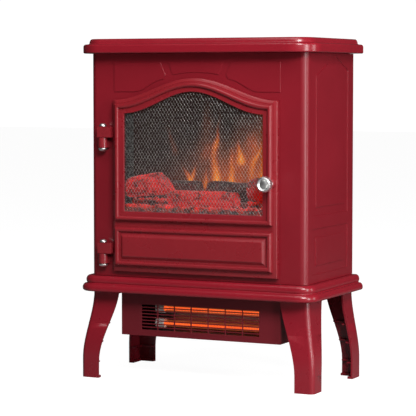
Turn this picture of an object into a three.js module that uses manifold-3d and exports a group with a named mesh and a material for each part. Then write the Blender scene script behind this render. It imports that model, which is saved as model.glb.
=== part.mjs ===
// A compact electric fireplace in the form of a small cast-iron stove: a steel cabinet on four
// curved legs, a hinged front door with an arched mesh window, a log-and-flame effect behind
// it, and an infrared quartz heater slung under the cabinet.
//
// Millimetres, +Z up. X runs across the front and -Y is the front. While it is being built,
// Y = 0 is the middle of the side panels; the finished group is moved so that the origin is
// on the floor, under the middle of the whole object.

import * as THREE from "three";
import { mergeVertices } from "three/addons/utils/BufferGeometryUtils.js";
import Module from "manifold-3d";

const wasm = await Module();
wasm.setup();

// ---------------------------------------------------------------- driving sizes

const GAP = 0.3; // left between pieces that touch
const RUNNING = 0.4; // radial clearance of a turning shaft in its bore

// Cabinet
const CABINET_WIDTH = 391.5;
const CABINET_FRONT = 103; // from the side panels' middle to the front face
const CABINET_BACK = 100;
const CABINET_HEIGHT = 371;
const CABINET_CORNER = 12;
const CABINET_WALL = 1.2;
const BACK_RETURN = 14;
const SHELL_WINDOW_INSET = 16;

// Top plate and base moulding: how far they stand out past the cabinet
const TOP_SIDE_OVERHANG = 17.75;
const TOP_FRONT_OVERHANG = 24.5;
const TOP_CORNER = 43;
const TOP_EDGE_HEIGHT = 15.5;
const TOP_HEIGHT = 24;
const TOP_STEP = 10;
const BASE_SIDE_OVERHANG = 19.25;
const BASE_FRONT_OVERHANG = 20;
const BASE_CORNER = 32;
const BASE_HEIGHT = 26;
const BASE_NOSE_HEIGHT = 12.5;
const BASE_STEP = 8;
const MOULDED_WALL = 3;
const PAN_THICKNESS = 1.2;

// Legs
const LEG_HEIGHT = 147;
const LEG_FLARE = 15; // how far a foot stands out past the top of its leg
const LEG_TOP_WIDTH = 50;
const LEG_FOOT_WIDTH = 33;
const LEG_WALL = 3;
const LEG_CORNER = 8;
const REAR_LEG_DEPTH = 40;
const FOOT_PLATE = 4;
const LEG_INSET = 1.25; // from the cabinet's side to the top of the leg
const LEG_RIBS = [26, 60, 91];

// Door
const DOOR_SIDE_MARGIN = 47.25; // from the cabinet's side to the door
const DOOR_BOTTOM_MARGIN = 9.2;
const DOOR_SHOULDER_MARGIN = 76.6; // from the cabinet's top to the door's shoulders
const DOOR_THICKNESS = 10;
const DOOR_BEVEL = 5.5;
const DOOR_GAP = 1;
const ARCH_RISE = 36;
const RIDGE_INSET = 6; // from the door's edge to the outside of the moulding
const RIDGE_HEIGHT = 8.5;
const BAND_HEIGHT = 4; // of the band between the ridge and the mesh
const WINDOW_INSET = 22.7; // from the door's edge to the mesh opening
const WINDOW_TOP_INSET = 22;
const WINDOW_FOOT = 15.8; // from the moulding's lower edge to the mesh opening
const LOWER_PANEL_HEIGHT = 65; // outside its moulding
const LOWER_PANEL_FOOT = 10; // from the door's bottom edge to the moulding
const PANEL_SPACING = 10; // between the two mouldings
const FIELD_RISE = 8.5;
const MESH_THICKNESS = 0.8;
const MESH_LAP = 3.5; // how far the mesh reaches behind the door all round its opening
const RETAINER_THICKNESS = 2;

// Hinges, knob and catch
const HINGE_RADIUS = 8;
const HINGE_HEIGHT = 17.5; // of the leaf, and of the knuckle below it
const HINGE_PIN_RADIUS = 3;
const HINGE_PIN_HEAD = 6;
const HINGE_PIN_FOOT = 7.5;
const HINGE_INSET = 18.2; // from the door's edge
const LOWER_HINGE_RISE = 29.5; // from the door's bottom to the lower leaf's underside
const HINGE_SPACING = 193.5;
const KNOB_RADIUS = 13;
const KNOB_HEIGHT = 153; // above the door's bottom
const KNOB_STEM_RADIUS = 4.5;
const KNOB_STEM = 11;
const KNOB_CAP = 9;
const KNOB_SCREW_RADIUS = 2;
const KNOB_SCREW_HEAD = 4;
const KNOB_SCREW_LENGTH = 25;
const KNOB_BOSS_RADIUS = 8;
const KNOB_INSET = 9.5; // from the door's edge
const CATCH_WIDTH = 8;
const CATCH_HEIGHT = 28;
const CATCH_INSET = 8; // from the door's edge
const CATCH_RISE = 60; // above the knob

// Heater housing and what is in it
const HEATER_SIDE_MARGIN = 50.25; // from the cabinet's side to the housing's
const HEATER_FRONT = 89.4; // from the side panels' middle to its face
const HEATER_DEPTH = 150;
const HEATER_BOTTOM = 73.5; // above the floor
const HEATER_WALL = 1.2;
const GRILLE_COLUMNS = 7;
const GRILLE_ROWS = 8;
const GRILLE_PITCH_X = 31;
const GRILLE_PITCH_Z = 5.5;
const GRILLE_BAR_X = 2;
const GRILLE_BAR_Z = 1.8;
const GRILLE_TOP = 124.4; // the first slot's middle, above the floor
const TUBE_RADIUS = 5.5;
const TUBE_WALL = 1;
const TUBE_LEFT_MARGIN = 59.5; // from the housing's side to the tubes' end
const TUBE_RIGHT_MARGIN = 23.5;
const COIL_RADIUS = 3;
const CAP_RADIUS = 8;
const CAP_LENGTH = 16;
const CAP_SOCKET = 8;
const TUBE_SETBACK = 30; // from the grille to the tubes' middle
const TUBE_LEVELS = [93, 118];
const REFLECTOR_SHEET = 0.8;
const REFLECTOR_REACH = 26; // from the tubes to its back
const IMPELLER_RADIUS = 20;
const IMPELLER_LENGTH = 150;
const IMPELLER_BLADES = 14;
const SHAFT_RADIUS = 3;
const BLOWER_MOTOR_RADIUS = 20;
const BLOWER_MOTOR_LENGTH = 34;

// Firebox
const LINER_WALL = 0.8;
const LINER_SIDE_MARGIN = 34.75; // from the cabinet's side
const LINER_DEPTH = 150;
const LINER_FOOT = 6; // below the window moulding's lower edge
const LINER_HEAD = 8; // above the window's peak
const SCREEN_SETBACK = 84; // from the cabinet's front to the flame screen
const SCREEN_THICKNESS = 3;
const EMBER_HEIGHT = 26;
const EMBER_DEPTH = 66;
const EMBER_STEP = 10; // rise of the bed behind the front log
const ROTOR_RADIUS = 2.5;
const ROTOR_FLAG_REACH = 16;
const ROTOR_FLAGS = 12;
const ROTOR_MOTOR_RADIUS = 17;
const ROTOR_MOTOR_LENGTH = 18;
const LED_BOARD_DEPTH = 20;

// Controls, on a recessed panel behind the door's lower panel
const CONTROL_WIDTH = 170;
const CONTROL_HEIGHT = 36;
const CONTROL_PLATE = 2;
const BUTTON_WIDTH = 16;
const BUTTON_HEIGHT = 10;
const BUTTON_REACH = 2.5; // in front of the plate
const BUTTON_PITCH = 30;
const BOARD_THICKNESS = 1.6;
const BOARD_SETBACK = 8;

// Back
const BACK_SHEET = 1.2;
const VENT_SLOTS = 9;
const VENT_PITCH = 10;
const VENT_SLOT = 4.5;
const VENT_WIDTH = 120;
const VENT_MIDDLE = 70; // above the cabinet's bottom
const GLAND_RADIUS = 9;
const GLAND_REACH = 6;
const GLAND_BORE = 3.6;
const SWITCH_WIDTH = 20;
const SWITCH_HEIGHT = 28;
const ROCKER_WIDTH = 13;
const ROCKER_HEIGHT = 19;
const ROCKER_TILT = 0.14;
const BACK_SCREW_HEAD = 4;
const BACK_SCREW_SHANK = 1.8;

// Raised pads on the front, and troughs pressed round the fields on the sides
const PAD_HEIGHT = 1.2;
const PAD_TOP_MARGIN = 15;
const PAD_SIDE_MARGIN = 45.5;
const PAD_FOOT_MARGIN = 63; // from the cabinet's top to the outer pads' lower edge
const PAD_SWEEP_MARGINS = [89.5, 36.5]; // the lower edge climbs between these, from the door's side
const PAD_CLIMB = 20.5;
const PAD_CROWN_MARGIN = 31.3;
const TROUGH_DEPTH = 1.2;
const TROUGH_WIDTH = 14.5;
const FIELD_FRONT_MARGIN = 41;
const FIELD_BACK_MARGIN = 38;
const UPPER_FIELD_DROP = 19; // from the cabinet's top
const UPPER_FIELD_HEIGHT = 229.5;
const LOWER_FIELD_RISE = 28; // from the cabinet's bottom
const LOWER_FIELD_HEIGHT = 45.3;
const FIELD_CUT_Y = 44;
const FIELD_CUT_Z = 18.5;

// ---------------------------------------------------------------- finishes

const paint = (color, roughness, metalness) =>
  new THREE.MeshStandardMaterial({ color, roughness, metalness });
const RED = paint(0x8e1624, 0.38, 0.1);
const DARK_RED = paint(0x5c0f18, 0.45, 0.1);
const SILVER = paint(0xc9ccc8, 0.25, 1);
const BLACK = paint(0x141414, 0.6, 0.2);
const BRIGHT = paint(0xd8d8d4, 0.18, 1);
const QUARTZ = paint(0xffb08a, 0.1, 0);
const GLOW = paint(0xff4a10, 0.4, 0);
const CERAMIC = paint(0xe6e0d4, 0.7, 0);
const FLAME = paint(0x2a0c04, 0.3, 0);
const BARK = paint(0x2b1a12, 0.85, 0);
const EMBER = paint(0xb3230d, 0.6, 0);
const BOARD = paint(0x1f4a2c, 0.5, 0);
const KEY = paint(0x2a2a2a, 0.5, 0);

// ---------------------------------------------------------------- solids from three.js geometry

function solidOf(geometry) {
  const bare = geometry.index ? geometry.toNonIndexed() : geometry.clone();
  bare.deleteAttribute("normal");
  bare.deleteAttribute("uv");
  const merged = mergeVertices(bare, 1e-4);
  const corners = [];
  for (let i = 0; i < merged.index.count; i += 3) {
    const [a, b, c] = merged.index.array.slice(i, i + 3);
    if (a !== b && b !== c && c !== a) corners.push(a, b, c);
  }
  return new wasm.Manifold(
    new wasm.Mesh({
      numProp: 3,
      vertProperties: new Float32Array(merged.attributes.position.array),
      triVerts: new Uint32Array(corners),
    }),
  );
}

function geometryOf(solid) {
  const mesh = solid.getMesh();
  const points = new Float32Array(mesh.numVert * 3);
  for (let i = 0; i < mesh.numVert; i++) {
    const at = i * mesh.numProp;
    points.set(mesh.vertProperties.subarray(at, at + 3), i * 3);
  }
  const geometry = new THREE.BufferGeometry();
  geometry.setAttribute("position", new THREE.BufferAttribute(points, 3));
  geometry.setIndex(new THREE.BufferAttribute(mesh.triVerts, 1));
  geometry.computeVertexNormals();
  return geometry;
}

const object = new THREE.Group();

function piece(name, solid, material) {
  const mesh = new THREE.Mesh(geometryOf(solid), material);
  mesh.name = name;
  object.add(mesh);
  return mesh;
}

const join = (...solids) => solids.reduce((whole, next) => whole.add(next));
const cut = (solid, ...tools) => tools.reduce((left, tool) => left.subtract(tool), solid);

// A box between two limits on each axis.
function block([x0, x1], [y0, y1], [z0, z1]) {
  const geometry = new THREE.BoxGeometry(x1 - x0, y1 - y0, z1 - z0);
  geometry.translate((x0 + x1) / 2, (y0 + y1) / 2, (z0 + z1) / 2);
  return solidOf(geometry);
}

// A flat shape pushed out along an axis. Along Y it is drawn in X and Z, along X in Y and Z.
const AXES = {
  z: [new THREE.Vector3(1, 0, 0), new THREE.Vector3(0, 1, 0), new THREE.Vector3(0, 0, 1)],
  y: [new THREE.Vector3(1, 0, 0), new THREE.Vector3(0, 0, 1), new THREE.Vector3(0, -1, 0)],
  x: [new THREE.Vector3(0, 1, 0), new THREE.Vector3(0, 0, 1), new THREE.Vector3(1, 0, 0)],
};

function prism(shape, axis, [from, to], curveSegments = 8) {
  const depth = to - from;
  const geometry = new THREE.ExtrudeGeometry(shape, { depth, bevelEnabled: false, curveSegments });
  geometry.applyMatrix4(new THREE.Matrix4().makeBasis(...AXES[axis]));
  const start = { z: [0, 0, from], y: [0, to, 0], x: [from, 0, 0] }[axis];
  geometry.translate(...start);
  return solidOf(geometry);
}

// A turned piece: [radius, distance] pairs run from one end to the other along the axis.
function turned(profile, axis, [x, y, z], segments = 24) {
  const points = profile.map(([radius, along]) => new THREE.Vector2(radius, along));
  const geometry = new THREE.LatheGeometry(points, segments);
  if (axis === "x") geometry.rotateZ(-Math.PI / 2);
  if (axis === "z") geometry.rotateX(Math.PI / 2);
  if (axis === "-y") geometry.rotateZ(Math.PI);
  geometry.translate(x, y, z);
  return solidOf(geometry);
}

const rod = (radius, length, axis, at, segments = 20) =>
  turned([[0, 0], [radius, 0], [radius, length], [0, length]], axis, at, segments);

// A skin over rings that all have the same number of points, closed at both ends.
function loft(rings) {
  const count = rings[0].length;
  const index = [];
  rings.slice(1).forEach((_, level) => {
    for (let i = 0; i < count; i++) {
      const a = level * count + i;
      const b = level * count + ((i + 1) % count);
      index.push(a, b, b + count, a, b + count, a + count);
    }
  });
  const caps = (ring, flat, offset, flip) => {
    for (const [a, b, c] of THREE.ShapeUtils.triangulateShape(flat, [])) {
      index.push(offset + a, offset + (flip ? c : b), offset + (flip ? b : c));
    }
  };
  const [low, high] = [rings[0], rings[rings.length - 1]];
  const level = low.every((p) => Math.abs(p.z - low[0].z) < 1e-6);
  const flatten = (ring) => ring.map((p) => new THREE.Vector2(p.x, level ? p.y : p.z));
  caps(low, flatten(low), 0, true);
  caps(high, flatten(high), (rings.length - 1) * count, false);
  const geometry = new THREE.BufferGeometry().setFromPoints(rings.flat());
  geometry.setIndex(index);
  return solidOf(geometry);
}

// ---------------------------------------------------------------- levels and lines

const half = CABINET_WIDTH / 2;
const front = -CABINET_FRONT;
const back = CABINET_BACK;
const baseBottom = LEG_HEIGHT + GAP;
const baseTop = baseBottom + BASE_HEIGHT;
const cabinetBottom = baseTop + GAP;
const cabinetTop = cabinetBottom + CABINET_HEIGHT;
const topBottom = cabinetTop + GAP;
const behindFront = front + CABINET_WALL + GAP;

const doorHalf = half - DOOR_SIDE_MARGIN;
const doorBottom = cabinetBottom + DOOR_BOTTOM_MARGIN;
const doorShoulder = cabinetTop - DOOR_SHOULDER_MARGIN;
const doorBack = front - DOOR_GAP;
const doorFace = doorBack - DOOR_THICKNESS;
const ridge = doorFace - RIDGE_HEIGHT;
const windowBottom = doorBottom + LOWER_PANEL_FOOT + LOWER_PANEL_HEIGHT + PANEL_SPACING;
const windowTop = doorShoulder + ARCH_RISE - WINDOW_TOP_INSET;
const meshFront = doorFace - 0.5;
const controlMiddle = doorBottom + LOWER_PANEL_FOOT + LOWER_PANEL_HEIGHT / 2;
const hingeX = -doorHalf - HINGE_INSET;
const hingeY = doorFace;
const hingeLevels = [doorBottom + LOWER_HINGE_RISE, doorBottom + LOWER_HINGE_RISE + HINGE_SPACING];
const knobX = doorHalf - KNOB_INSET;
const knobZ = doorBottom + KNOB_HEIGHT;
const knobSeat = ridge - 0.5;
const catchX = doorHalf - CATCH_INSET;
const catchZ = knobZ + CATCH_RISE;
const linerHalf = half - LINER_SIDE_MARGIN;
const heaterHalf = half - HEATER_SIDE_MARGIN;
const tubeLeft = -heaterHalf + TUBE_LEFT_MARGIN;
const tubeRight = heaterHalf - TUBE_RIGHT_MARGIN;
const heaterFace = -HEATER_FRONT;
const heaterTop = cabinetBottom - GAP;
const tubeY = heaterFace + TUBE_SETBACK;
const blowerY = 14;
const blowerZ = 118;
const linerBottom = windowBottom - LINER_FOOT;
const linerTop = windowTop + LINER_HEAD;
const linerFront = behindFront;
const screenY = front + SCREEN_SETBACK;
const rotorY = screenY + 28;
const rotorZ = linerBottom + 34;
const FULL_HEIGHT = [0, 700];
const screwX = half - BACK_RETURN / 2 - 1;
const backScrews = [-1, 1].flatMap((side) => [
  [side * screwX, cabinetBottom + 20],
  [side * screwX, cabinetTop - 20],
]);

// The arch is a raised cosine that dies out at the shoulders.
const archRise = (x, reach) => ARCH_RISE * (0.5 + 0.5 * Math.cos((Math.PI * x) / reach));

// Outline in X and Z with an arched top, inset from the door's edge.
const ARCH_STEPS = 20;
function archOutline(sideInset, topInset, bottom) {
  const reach = doorHalf - sideInset;
  const points = [new THREE.Vector2(-reach, bottom), new THREE.Vector2(reach, bottom)];
  for (let i = 0; i <= ARCH_STEPS; i++) {
    const x = reach - (2 * reach * i) / ARCH_STEPS;
    points.push(new THREE.Vector2(x, doorShoulder - topInset + archRise(x, reach)));
  }
  return points;
}

const easeIn = (t) => t * t * (3 - 2 * t);

const boxOutline = (halfX, z0, z1) =>
  [[-halfX, z0], [halfX, z0], [halfX, z1], [-halfX, z1]].map((p) => new THREE.Vector2(...p));

// Rings of points for a loft: a front outline at a depth, and a plan outline at a height.
const upright = (outline, y) => outline.map((p) => new THREE.Vector3(p.x, y, p.y));

const CORNER_STEPS = 6;
function plan(halfX, frontY, backY, radius, z) {
  const ring = [new THREE.Vector3(halfX, backY, z), new THREE.Vector3(-halfX, backY, z)];
  for (const side of [-1, 1]) {
    for (let i = 0; i <= CORNER_STEPS; i++) {
      const angle = Math.PI * (side < 0 ? 1 : 1.5) + ((Math.PI / 2) * i) / CORNER_STEPS;
      const x = side * (halfX - radius) + radius * Math.cos(angle);
      const y = frontY + radius + radius * Math.sin(angle);
      ring.push(new THREE.Vector3(x, y, z));
    }
  }
  return ring;
}

// ---------------------------------------------------------------- cabinet

// One sheet bent round the front and sides, with narrow returns at the back.
function cabinetShell() {
  const wall = CABINET_WALL;
  const skin = loft([
    plan(half, front, back, CABINET_CORNER, cabinetBottom),
    plan(half, front, back, CABINET_CORNER, cabinetTop),
  ]);
  const inside = loft([
    plan(half - wall, front + wall, back - wall, CABINET_CORNER - wall, cabinetBottom - 1),
    plan(half - wall, front + wall, back - wall, CABINET_CORNER - wall, cabinetTop + 1),
  ]);
  const rear = block([-half + BACK_RETURN, half - BACK_RETURN], [0, back + 1], FULL_HEIGHT);
  const window = prism(
    new THREE.Shape(archOutline(SHELL_WINDOW_INSET, SHELL_WINDOW_INSET, windowBottom + 4)),
    "y",
    [front - 5, front + 5],
  );
  const controls = block(
    [-CONTROL_WIDTH / 2, CONTROL_WIDTH / 2],
    [front - 5, front + 5],
    [controlMiddle - CONTROL_HEIGHT / 2, controlMiddle + CONTROL_HEIGHT / 2],
  );
  const catchHole = block(
    [catchX - CATCH_WIDTH / 2 - GAP, catchX + CATCH_WIDTH / 2 + GAP],
    [front - 5, front + 5],
    [catchZ - CATCH_HEIGHT / 2 - GAP, catchZ + CATCH_HEIGHT / 2 + GAP],
  );
  let shell = cut(skin, inside, rear, window, controls, catchHole);
  for (const pad of frontPads()) shell = shell.add(pad);
  for (const side of [-1, 1]) {
    const { backing, troughs } = sideTroughs(side);
    shell = cut(join(shell, ...backing), ...troughs);
  }
  for (const [x, z] of backScrews) {
    shell = shell.subtract(rod(BACK_SCREW_SHANK + GAP, 10, "-y", [x, back + 3, z], 12));
  }
  return shell;
}

// Pads pressed out of the front over the door: their lower edges follow its arch.
function frontPads() {
  const top = cabinetTop - PAD_TOP_MARGIN;
  const reach = half - PAD_SIDE_MARGIN;
  const foot = cabinetTop - PAD_FOOT_MARGIN;
  const [inner, outer] = PAD_SWEEP_MARGINS.map((margin) => doorHalf - margin);
  const outlines = [-1, 1].map((side) => {
    const points = [[side * reach, top], [side * reach, foot]];
    for (let i = 0; i <= 8; i++) {
      const t = i / 8;
      points.push([side * (outer + (inner - outer) * t), foot + PAD_CLIMB * easeIn(t)]);
    }
    points.push([side * (inner - 4), foot + PAD_CLIMB + 6], [side * (inner + 5.5), top]);
    return points;
  });
  const crown = cabinetTop - PAD_CROWN_MARGIN;
  const middle = [[inner - 10, top]];
  for (let i = -4; i <= 4; i++) middle.push([(i / -4) * (inner - 17.4), crown - 3.8 * (i / 4) ** 2]);
  middle.push([10 - inner, top]);
  outlines.push(middle);
  return outlines.map((points) => {
    const shape = new THREE.Shape(points.map((p) => new THREE.Vector2(...p)));
    return prism(shape, "y", [front - PAD_HEIGHT, front + CABINET_WALL / 2]);
  });
}

// A field's outline in Y and Z, grown on all sides, with its top corners cut off or square.
function fieldOutline(low, high, cutY, cutZ, grow) {
  const slope = Math.hypot(cutY, cutZ);
  const share = cutY ? 1 + (grow * (1 - (slope - cutZ) / cutY)) / cutZ : 0;
  const y0 = front + FIELD_FRONT_MARGIN - grow;
  const y1 = back - FIELD_BACK_MARGIN + grow;
  const outline = [[y0, low - grow], [y1, low - grow]];
  if (cutY) {
    outline.push([y1, high + grow - cutZ * share], [y1 - cutY * share, high + grow]);
    outline.push([y0 + cutY * share, high + grow], [y0, high + grow - cutZ * share]);
  } else {
    outline.push([y1, high + grow], [y0, high + grow]);
  }
  return outline.map((p) => new THREE.Vector2(...p));
}

// Two troughs pressed into each side, one above the other, and the sheet that backs them.
function sideTroughs(side) {
  const upperTop = cabinetTop - UPPER_FIELD_DROP;
  const lowerBottom = cabinetBottom + LOWER_FIELD_RISE;
  const fields = [
    [upperTop - UPPER_FIELD_HEIGHT, upperTop, FIELD_CUT_Y, FIELD_CUT_Z],
    [lowerBottom, lowerBottom + LOWER_FIELD_HEIGHT, 0, 0],
  ];
  const ring = (field, spare, from, to) => {
    const shape = new THREE.Shape(fieldOutline(...field, TROUGH_WIDTH + spare));
    shape.holes.push(new THREE.Path(fieldOutline(...field, -spare)));
    return prism(shape, "x", side > 0 ? [from, to] : [-to, -from]);
  };
  const floor = half - TROUGH_DEPTH;
  const wall = CABINET_WALL;
  return {
    backing: fields.map((field) => ring(field, wall, floor - wall, half - wall + 0.1)),
    troughs: fields.map((field) => ring(field, 0, floor, half + 1)),
  };
}

// A rim with the given [inset, height] profile, square at the back.
const moulded = (profile, overhang, frontOverhang, corner, bottom) =>
  loft(
    profile.map(([inset, z]) =>
      plan(
        half + overhang - inset,
        front - frontOverhang + inset,
        back + GAP,
        corner - inset,
        bottom + z,
      ),
    ),
  );

function topPlate() {
  const edge = TOP_EDGE_HEIGHT;
  const slab = moulded(
    [
      [1.5, 0],
      [0, 1.5],
      [0, edge - 4],
      [1, edge - 1.7],
      [3.2, edge - 0.5],
      [TOP_STEP - 1, edge],
      [TOP_STEP, edge + 0.8],
      [TOP_STEP + 0.6, edge + 4],
      [TOP_STEP + 2, edge + 7],
      [TOP_STEP + 4.2, TOP_HEIGHT],
    ],
    TOP_SIDE_OVERHANG,
    TOP_FRONT_OVERHANG,
    TOP_CORNER,
    topBottom,
  );
  const hollow = block(
    [-half + 12, half - 12],
    [front + 12, back - 12],
    [topBottom - 1, topBottom + TOP_HEIGHT - MOULDED_WALL],
  );
  return slab.subtract(hollow);
}

function baseMoulding() {
  const nose = BASE_NOSE_HEIGHT;
  const rim = moulded(
    [
      [2.6, 0],
      [0.8, 1.4],
      [0, 4],
      [0.2, nose * 0.55],
      [1.4, nose * 0.8],
      [3.6, nose * 0.95],
      [BASE_STEP - 1.2, nose],
      [BASE_STEP, nose + 1.2],
      [BASE_STEP - 1.2, nose + 3],
      [BASE_STEP - 1.6, nose + 5.5],
      [BASE_STEP - 1.2, BASE_HEIGHT - 4.5],
      [BASE_STEP + 0.4, BASE_HEIGHT - 1.8],
      [BASE_STEP + 3.4, BASE_HEIGHT],
    ],
    BASE_SIDE_OVERHANG,
    BASE_FRONT_OVERHANG,
    BASE_CORNER,
    baseBottom,
  );
  const opening = block(
    [-half + 11, half - 11],
    [front + 11, back - 11],
    [baseBottom - 1, baseTop + 1],
  );
  return rim.subtract(opening);
}

function basePan() {
  const side = half - CABINET_WALL - GAP;
  const rear = back - CABINET_WALL - GAP;
  const corner = CABINET_CORNER - CABINET_WALL;
  const pan = loft([
    plan(side, behindFront, rear, corner, cabinetBottom),
    plan(side, behindFront, rear, corner, cabinetBottom + PAN_THICKNESS),
  ]);
  const intake = block([-95, 75], [blowerY - 22, blowerY + 22], FULL_HEIGHT);
  return pan.subtract(intake);
}

// ---------------------------------------------------------------- legs

// Each leg is an angle with a rounded corner that sweeps outwards and narrows to its foot.
const sweep = (z, span) => easeIn(Math.min(1, (LEG_HEIGHT - z) / span));
const taper = (z) => {
  const t = Math.min(1, (LEG_HEIGHT - z) / 120);
  return 0.7 * easeIn(t) + 0.3 * Math.sin((Math.PI / 2) * t);
};

function legRing(z, sideX, sideY, wall, setback = 0) {
  const rear = sideY > 0;
  const flare = LEG_FLARE * sweep(z, 115);
  const outX = half + LEG_INSET + flare;
  const outY = rear ? back : -front - 6 + flare * 0.93;
  const narrowing = LEG_TOP_WIDTH + LEG_FLARE - LEG_FOOT_WIDTH;
  const edgeX = half + LEG_INSET - LEG_TOP_WIDTH + narrowing * taper(z) + setback;
  const depth = rear ? back - REAR_LEG_DEPTH - 7 + 8 * taper(z) : 39 + 37 * taper(z);
  const edgeY = depth + setback;
  const r = LEG_CORNER;
  const points = [[edgeX, outY], [outX - r, outY]];
  for (const i of [1, 2, 3]) {
    const angle = (Math.PI / 8) * i;
    points.push([outX - r + r * Math.sin(angle), outY - r + r * Math.cos(angle)]);
  }
  points.push([outX, outY - r], [outX, edgeY]);
  points.push([outX - wall, edgeY], [outX - wall, outY - wall], [edgeX, outY - wall]);
  const ring = points.map(([x, y]) => new THREE.Vector3(sideX * x, sideY * y, z));
  return sideX * sideY > 0 ? ring.reverse() : ring;
}

function leg(sideX, sideY) {
  const between = (z0, z1, steps, wall, setback) => {
    const rings = [];
    for (let i = 0; i <= steps; i++) {
      rings.push(legRing(z0 + ((z1 - z0) * i) / steps, sideX, sideY, wall, setback));
    }
    return loft(rings);
  };
  return join(
    between(0, LEG_HEIGHT, 16, LEG_WALL),
    between(0, FOOT_PLATE, 1, 9),
    ...LEG_RIBS.map((z) => between(z, z + 2, 1, 11, 2.5)),
    between(LEG_HEIGHT - 4, LEG_HEIGHT, 1, 20),
  );
}

// ---------------------------------------------------------------- door

function doorFrame() {
  const outline = archOutline(0, 0, doorBottom);
  const bevelled = archOutline(DOOR_BEVEL, DOOR_BEVEL, doorBottom + DOOR_BEVEL);
  let door = loft([
    upright(outline, doorBack),
    upright(outline, doorFace + 2.5),
    upright(bevelled, doorFace),
  ]);
  const arch = (inset, y) =>
    upright(archOutline(inset, inset, windowBottom - RIDGE_INSET + inset), y);
  const ridgeSide = RIDGE_INSET;
  const ridgeRise = [
    [0, doorFace + 1],
    [0.4, doorFace],
    [1.6, ridge + 2],
    [3, ridge],
  ];
  door = door.add(loft(ridgeRise.map(([inset, y]) => arch(ridgeSide + inset, y))));
  const panelHalf = doorHalf - ridgeSide;
  const panelFoot = doorBottom + LOWER_PANEL_FOOT;
  const panelZ = [panelFoot, panelFoot + LOWER_PANEL_HEIGHT];
  const panelRing = (inset, y) =>
    upright(boxOutline(panelHalf - inset, panelZ[0] + inset, panelZ[1] - inset), y);
  door = door.add(loft(ridgeRise.map(([inset, y]) => panelRing(inset, y))));
  const band = doorFace - BAND_HEIGHT;
  const groove = loft([
    panelRing(10, band + 2),
    panelRing(8.5, band),
    panelRing(6.5, ridge - 0.1),
    panelRing(6.5, ridge - 1),
  ]);
  const field = loft([
    panelRing(10.5, band + 3),
    panelRing(11.5, band),
    panelRing(15.5, doorFace - FIELD_RISE + 1),
    panelRing(17.5, doorFace - FIELD_RISE),
  ]);
  const pocket = block(
    [-panelHalf + 14, panelHalf - 14],
    [doorBack - 5.5, doorBack + 1],
    [panelZ[0] + 8, panelZ[1] - 8],
  );
  const hole = archOutline(WINDOW_INSET, WINDOW_TOP_INSET, windowBottom + WINDOW_FOOT);
  const opening = loft([
    upright(hole, doorBack + 1),
    upright(hole, band + 1.5),
    arch(ridgeSide + 8.5, band),
    arch(ridgeSide + 6.5, ridge - 0.1),
    arch(ridgeSide + 6.5, ridge - 1),
  ]);
  const seat = prism(new THREE.Shape(meshOutline(-GAP)), "y", [meshFront, doorBack + 1]);
  const boss = rod(KNOB_BOSS_RADIUS, doorBack - 1 - knobSeat, "-y", [knobX, doorBack - 1, knobZ], 24);
  door = cut(cut(door, groove).add(field), pocket, opening).add(boss).subtract(seat);
  return cut(
    door,
    rod(KNOB_SCREW_RADIUS + GAP, 40, "-y", [knobX, doorBack + 1, knobZ], 12),
    rod(KNOB_SCREW_HEAD + GAP, 4, "-y", [knobX, doorBack + 1, knobZ], 16),
    block(
      [catchX - CATCH_WIDTH / 2 - GAP, catchX + CATCH_WIDTH / 2 + GAP],
      [doorBack - 2, doorBack + 1],
      [catchZ - CATCH_HEIGHT / 2 - GAP, catchZ + CATCH_HEIGHT / 2 + GAP],
    ),
  );
}

const meshOutline = (inset) =>
  archOutline(
    WINDOW_INSET - MESH_LAP + inset,
    WINDOW_TOP_INSET - MESH_LAP + inset,
    windowBottom + WINDOW_FOOT - MESH_LAP + inset,
  );

function meshRetainer() {
  const ring = new THREE.Shape(meshOutline(0));
  ring.holes.push(new THREE.Path(archOutline(WINDOW_INSET, WINDOW_TOP_INSET, windowBottom + WINDOW_FOOT)));
  const y = meshFront + MESH_THICKNESS + 2 * GAP;
  return prism(ring, "y", [y, y + RETAINER_THICKNESS]);
}

// The knob is drawn as a plain turned shape with shallow flutes.
function knob() {
  const r = KNOB_RADIUS;
  const start = knobSeat - GAP;
  const body = turned(
    [
      [0, 0],
      [KNOB_STEM_RADIUS + 2, 0],
      [KNOB_STEM_RADIUS, 2],
      [KNOB_STEM_RADIUS, KNOB_STEM],
      [r - 1, KNOB_STEM + 2],
      [r, KNOB_STEM + 3],
      [r, KNOB_STEM + KNOB_CAP],
      [r - 1.5, KNOB_STEM + KNOB_CAP + 1.5],
      [r - 5.5, KNOB_STEM + KNOB_CAP + 2],
      [r - 6, KNOB_STEM + KNOB_CAP + 1.2],
      [r - 7, KNOB_STEM + KNOB_CAP + 2.2],
      [0, KNOB_STEM + KNOB_CAP + 3],
    ],
    "-y",
    [knobX, start, knobZ],
    48,
  );
  return body.subtract(rod(KNOB_SCREW_RADIUS + GAP, 11, "-y", [knobX, start + 1, knobZ], 12));
}

function knobScrew() {
  return turned(
    [
      [0, 0],
      [KNOB_SCREW_HEAD, 0],
      [KNOB_SCREW_HEAD, 2.4],
      [KNOB_SCREW_RADIUS, 2.4],
      [KNOB_SCREW_RADIUS, KNOB_SCREW_LENGTH],
      [0, KNOB_SCREW_LENGTH],
    ],
    "-y",
    [knobX, doorBack - 0.3, knobZ],
    16,
  );
}

// ---------------------------------------------------------------- hinges

function hingeLeaf(z) {
  const barrel = rod(HINGE_RADIUS, HINGE_HEIGHT, "z", [hingeX, hingeY, z], 24);
  const tall = [z, z + HINGE_HEIGHT];
  const plate = block([hingeX, -doorHalf - GAP], [hingeY - HINGE_RADIUS, hingeY + 5.5], tall);
  const square = block([hingeX - 7, hingeX], [hingeY - HINGE_RADIUS, hingeY], tall);
  const bore = rod(HINGE_PIN_RADIUS + GAP, HINGE_HEIGHT + 2, "z", [hingeX, hingeY, z - 1], 16);
  return join(barrel, plate, square).subtract(bore);
}

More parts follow.
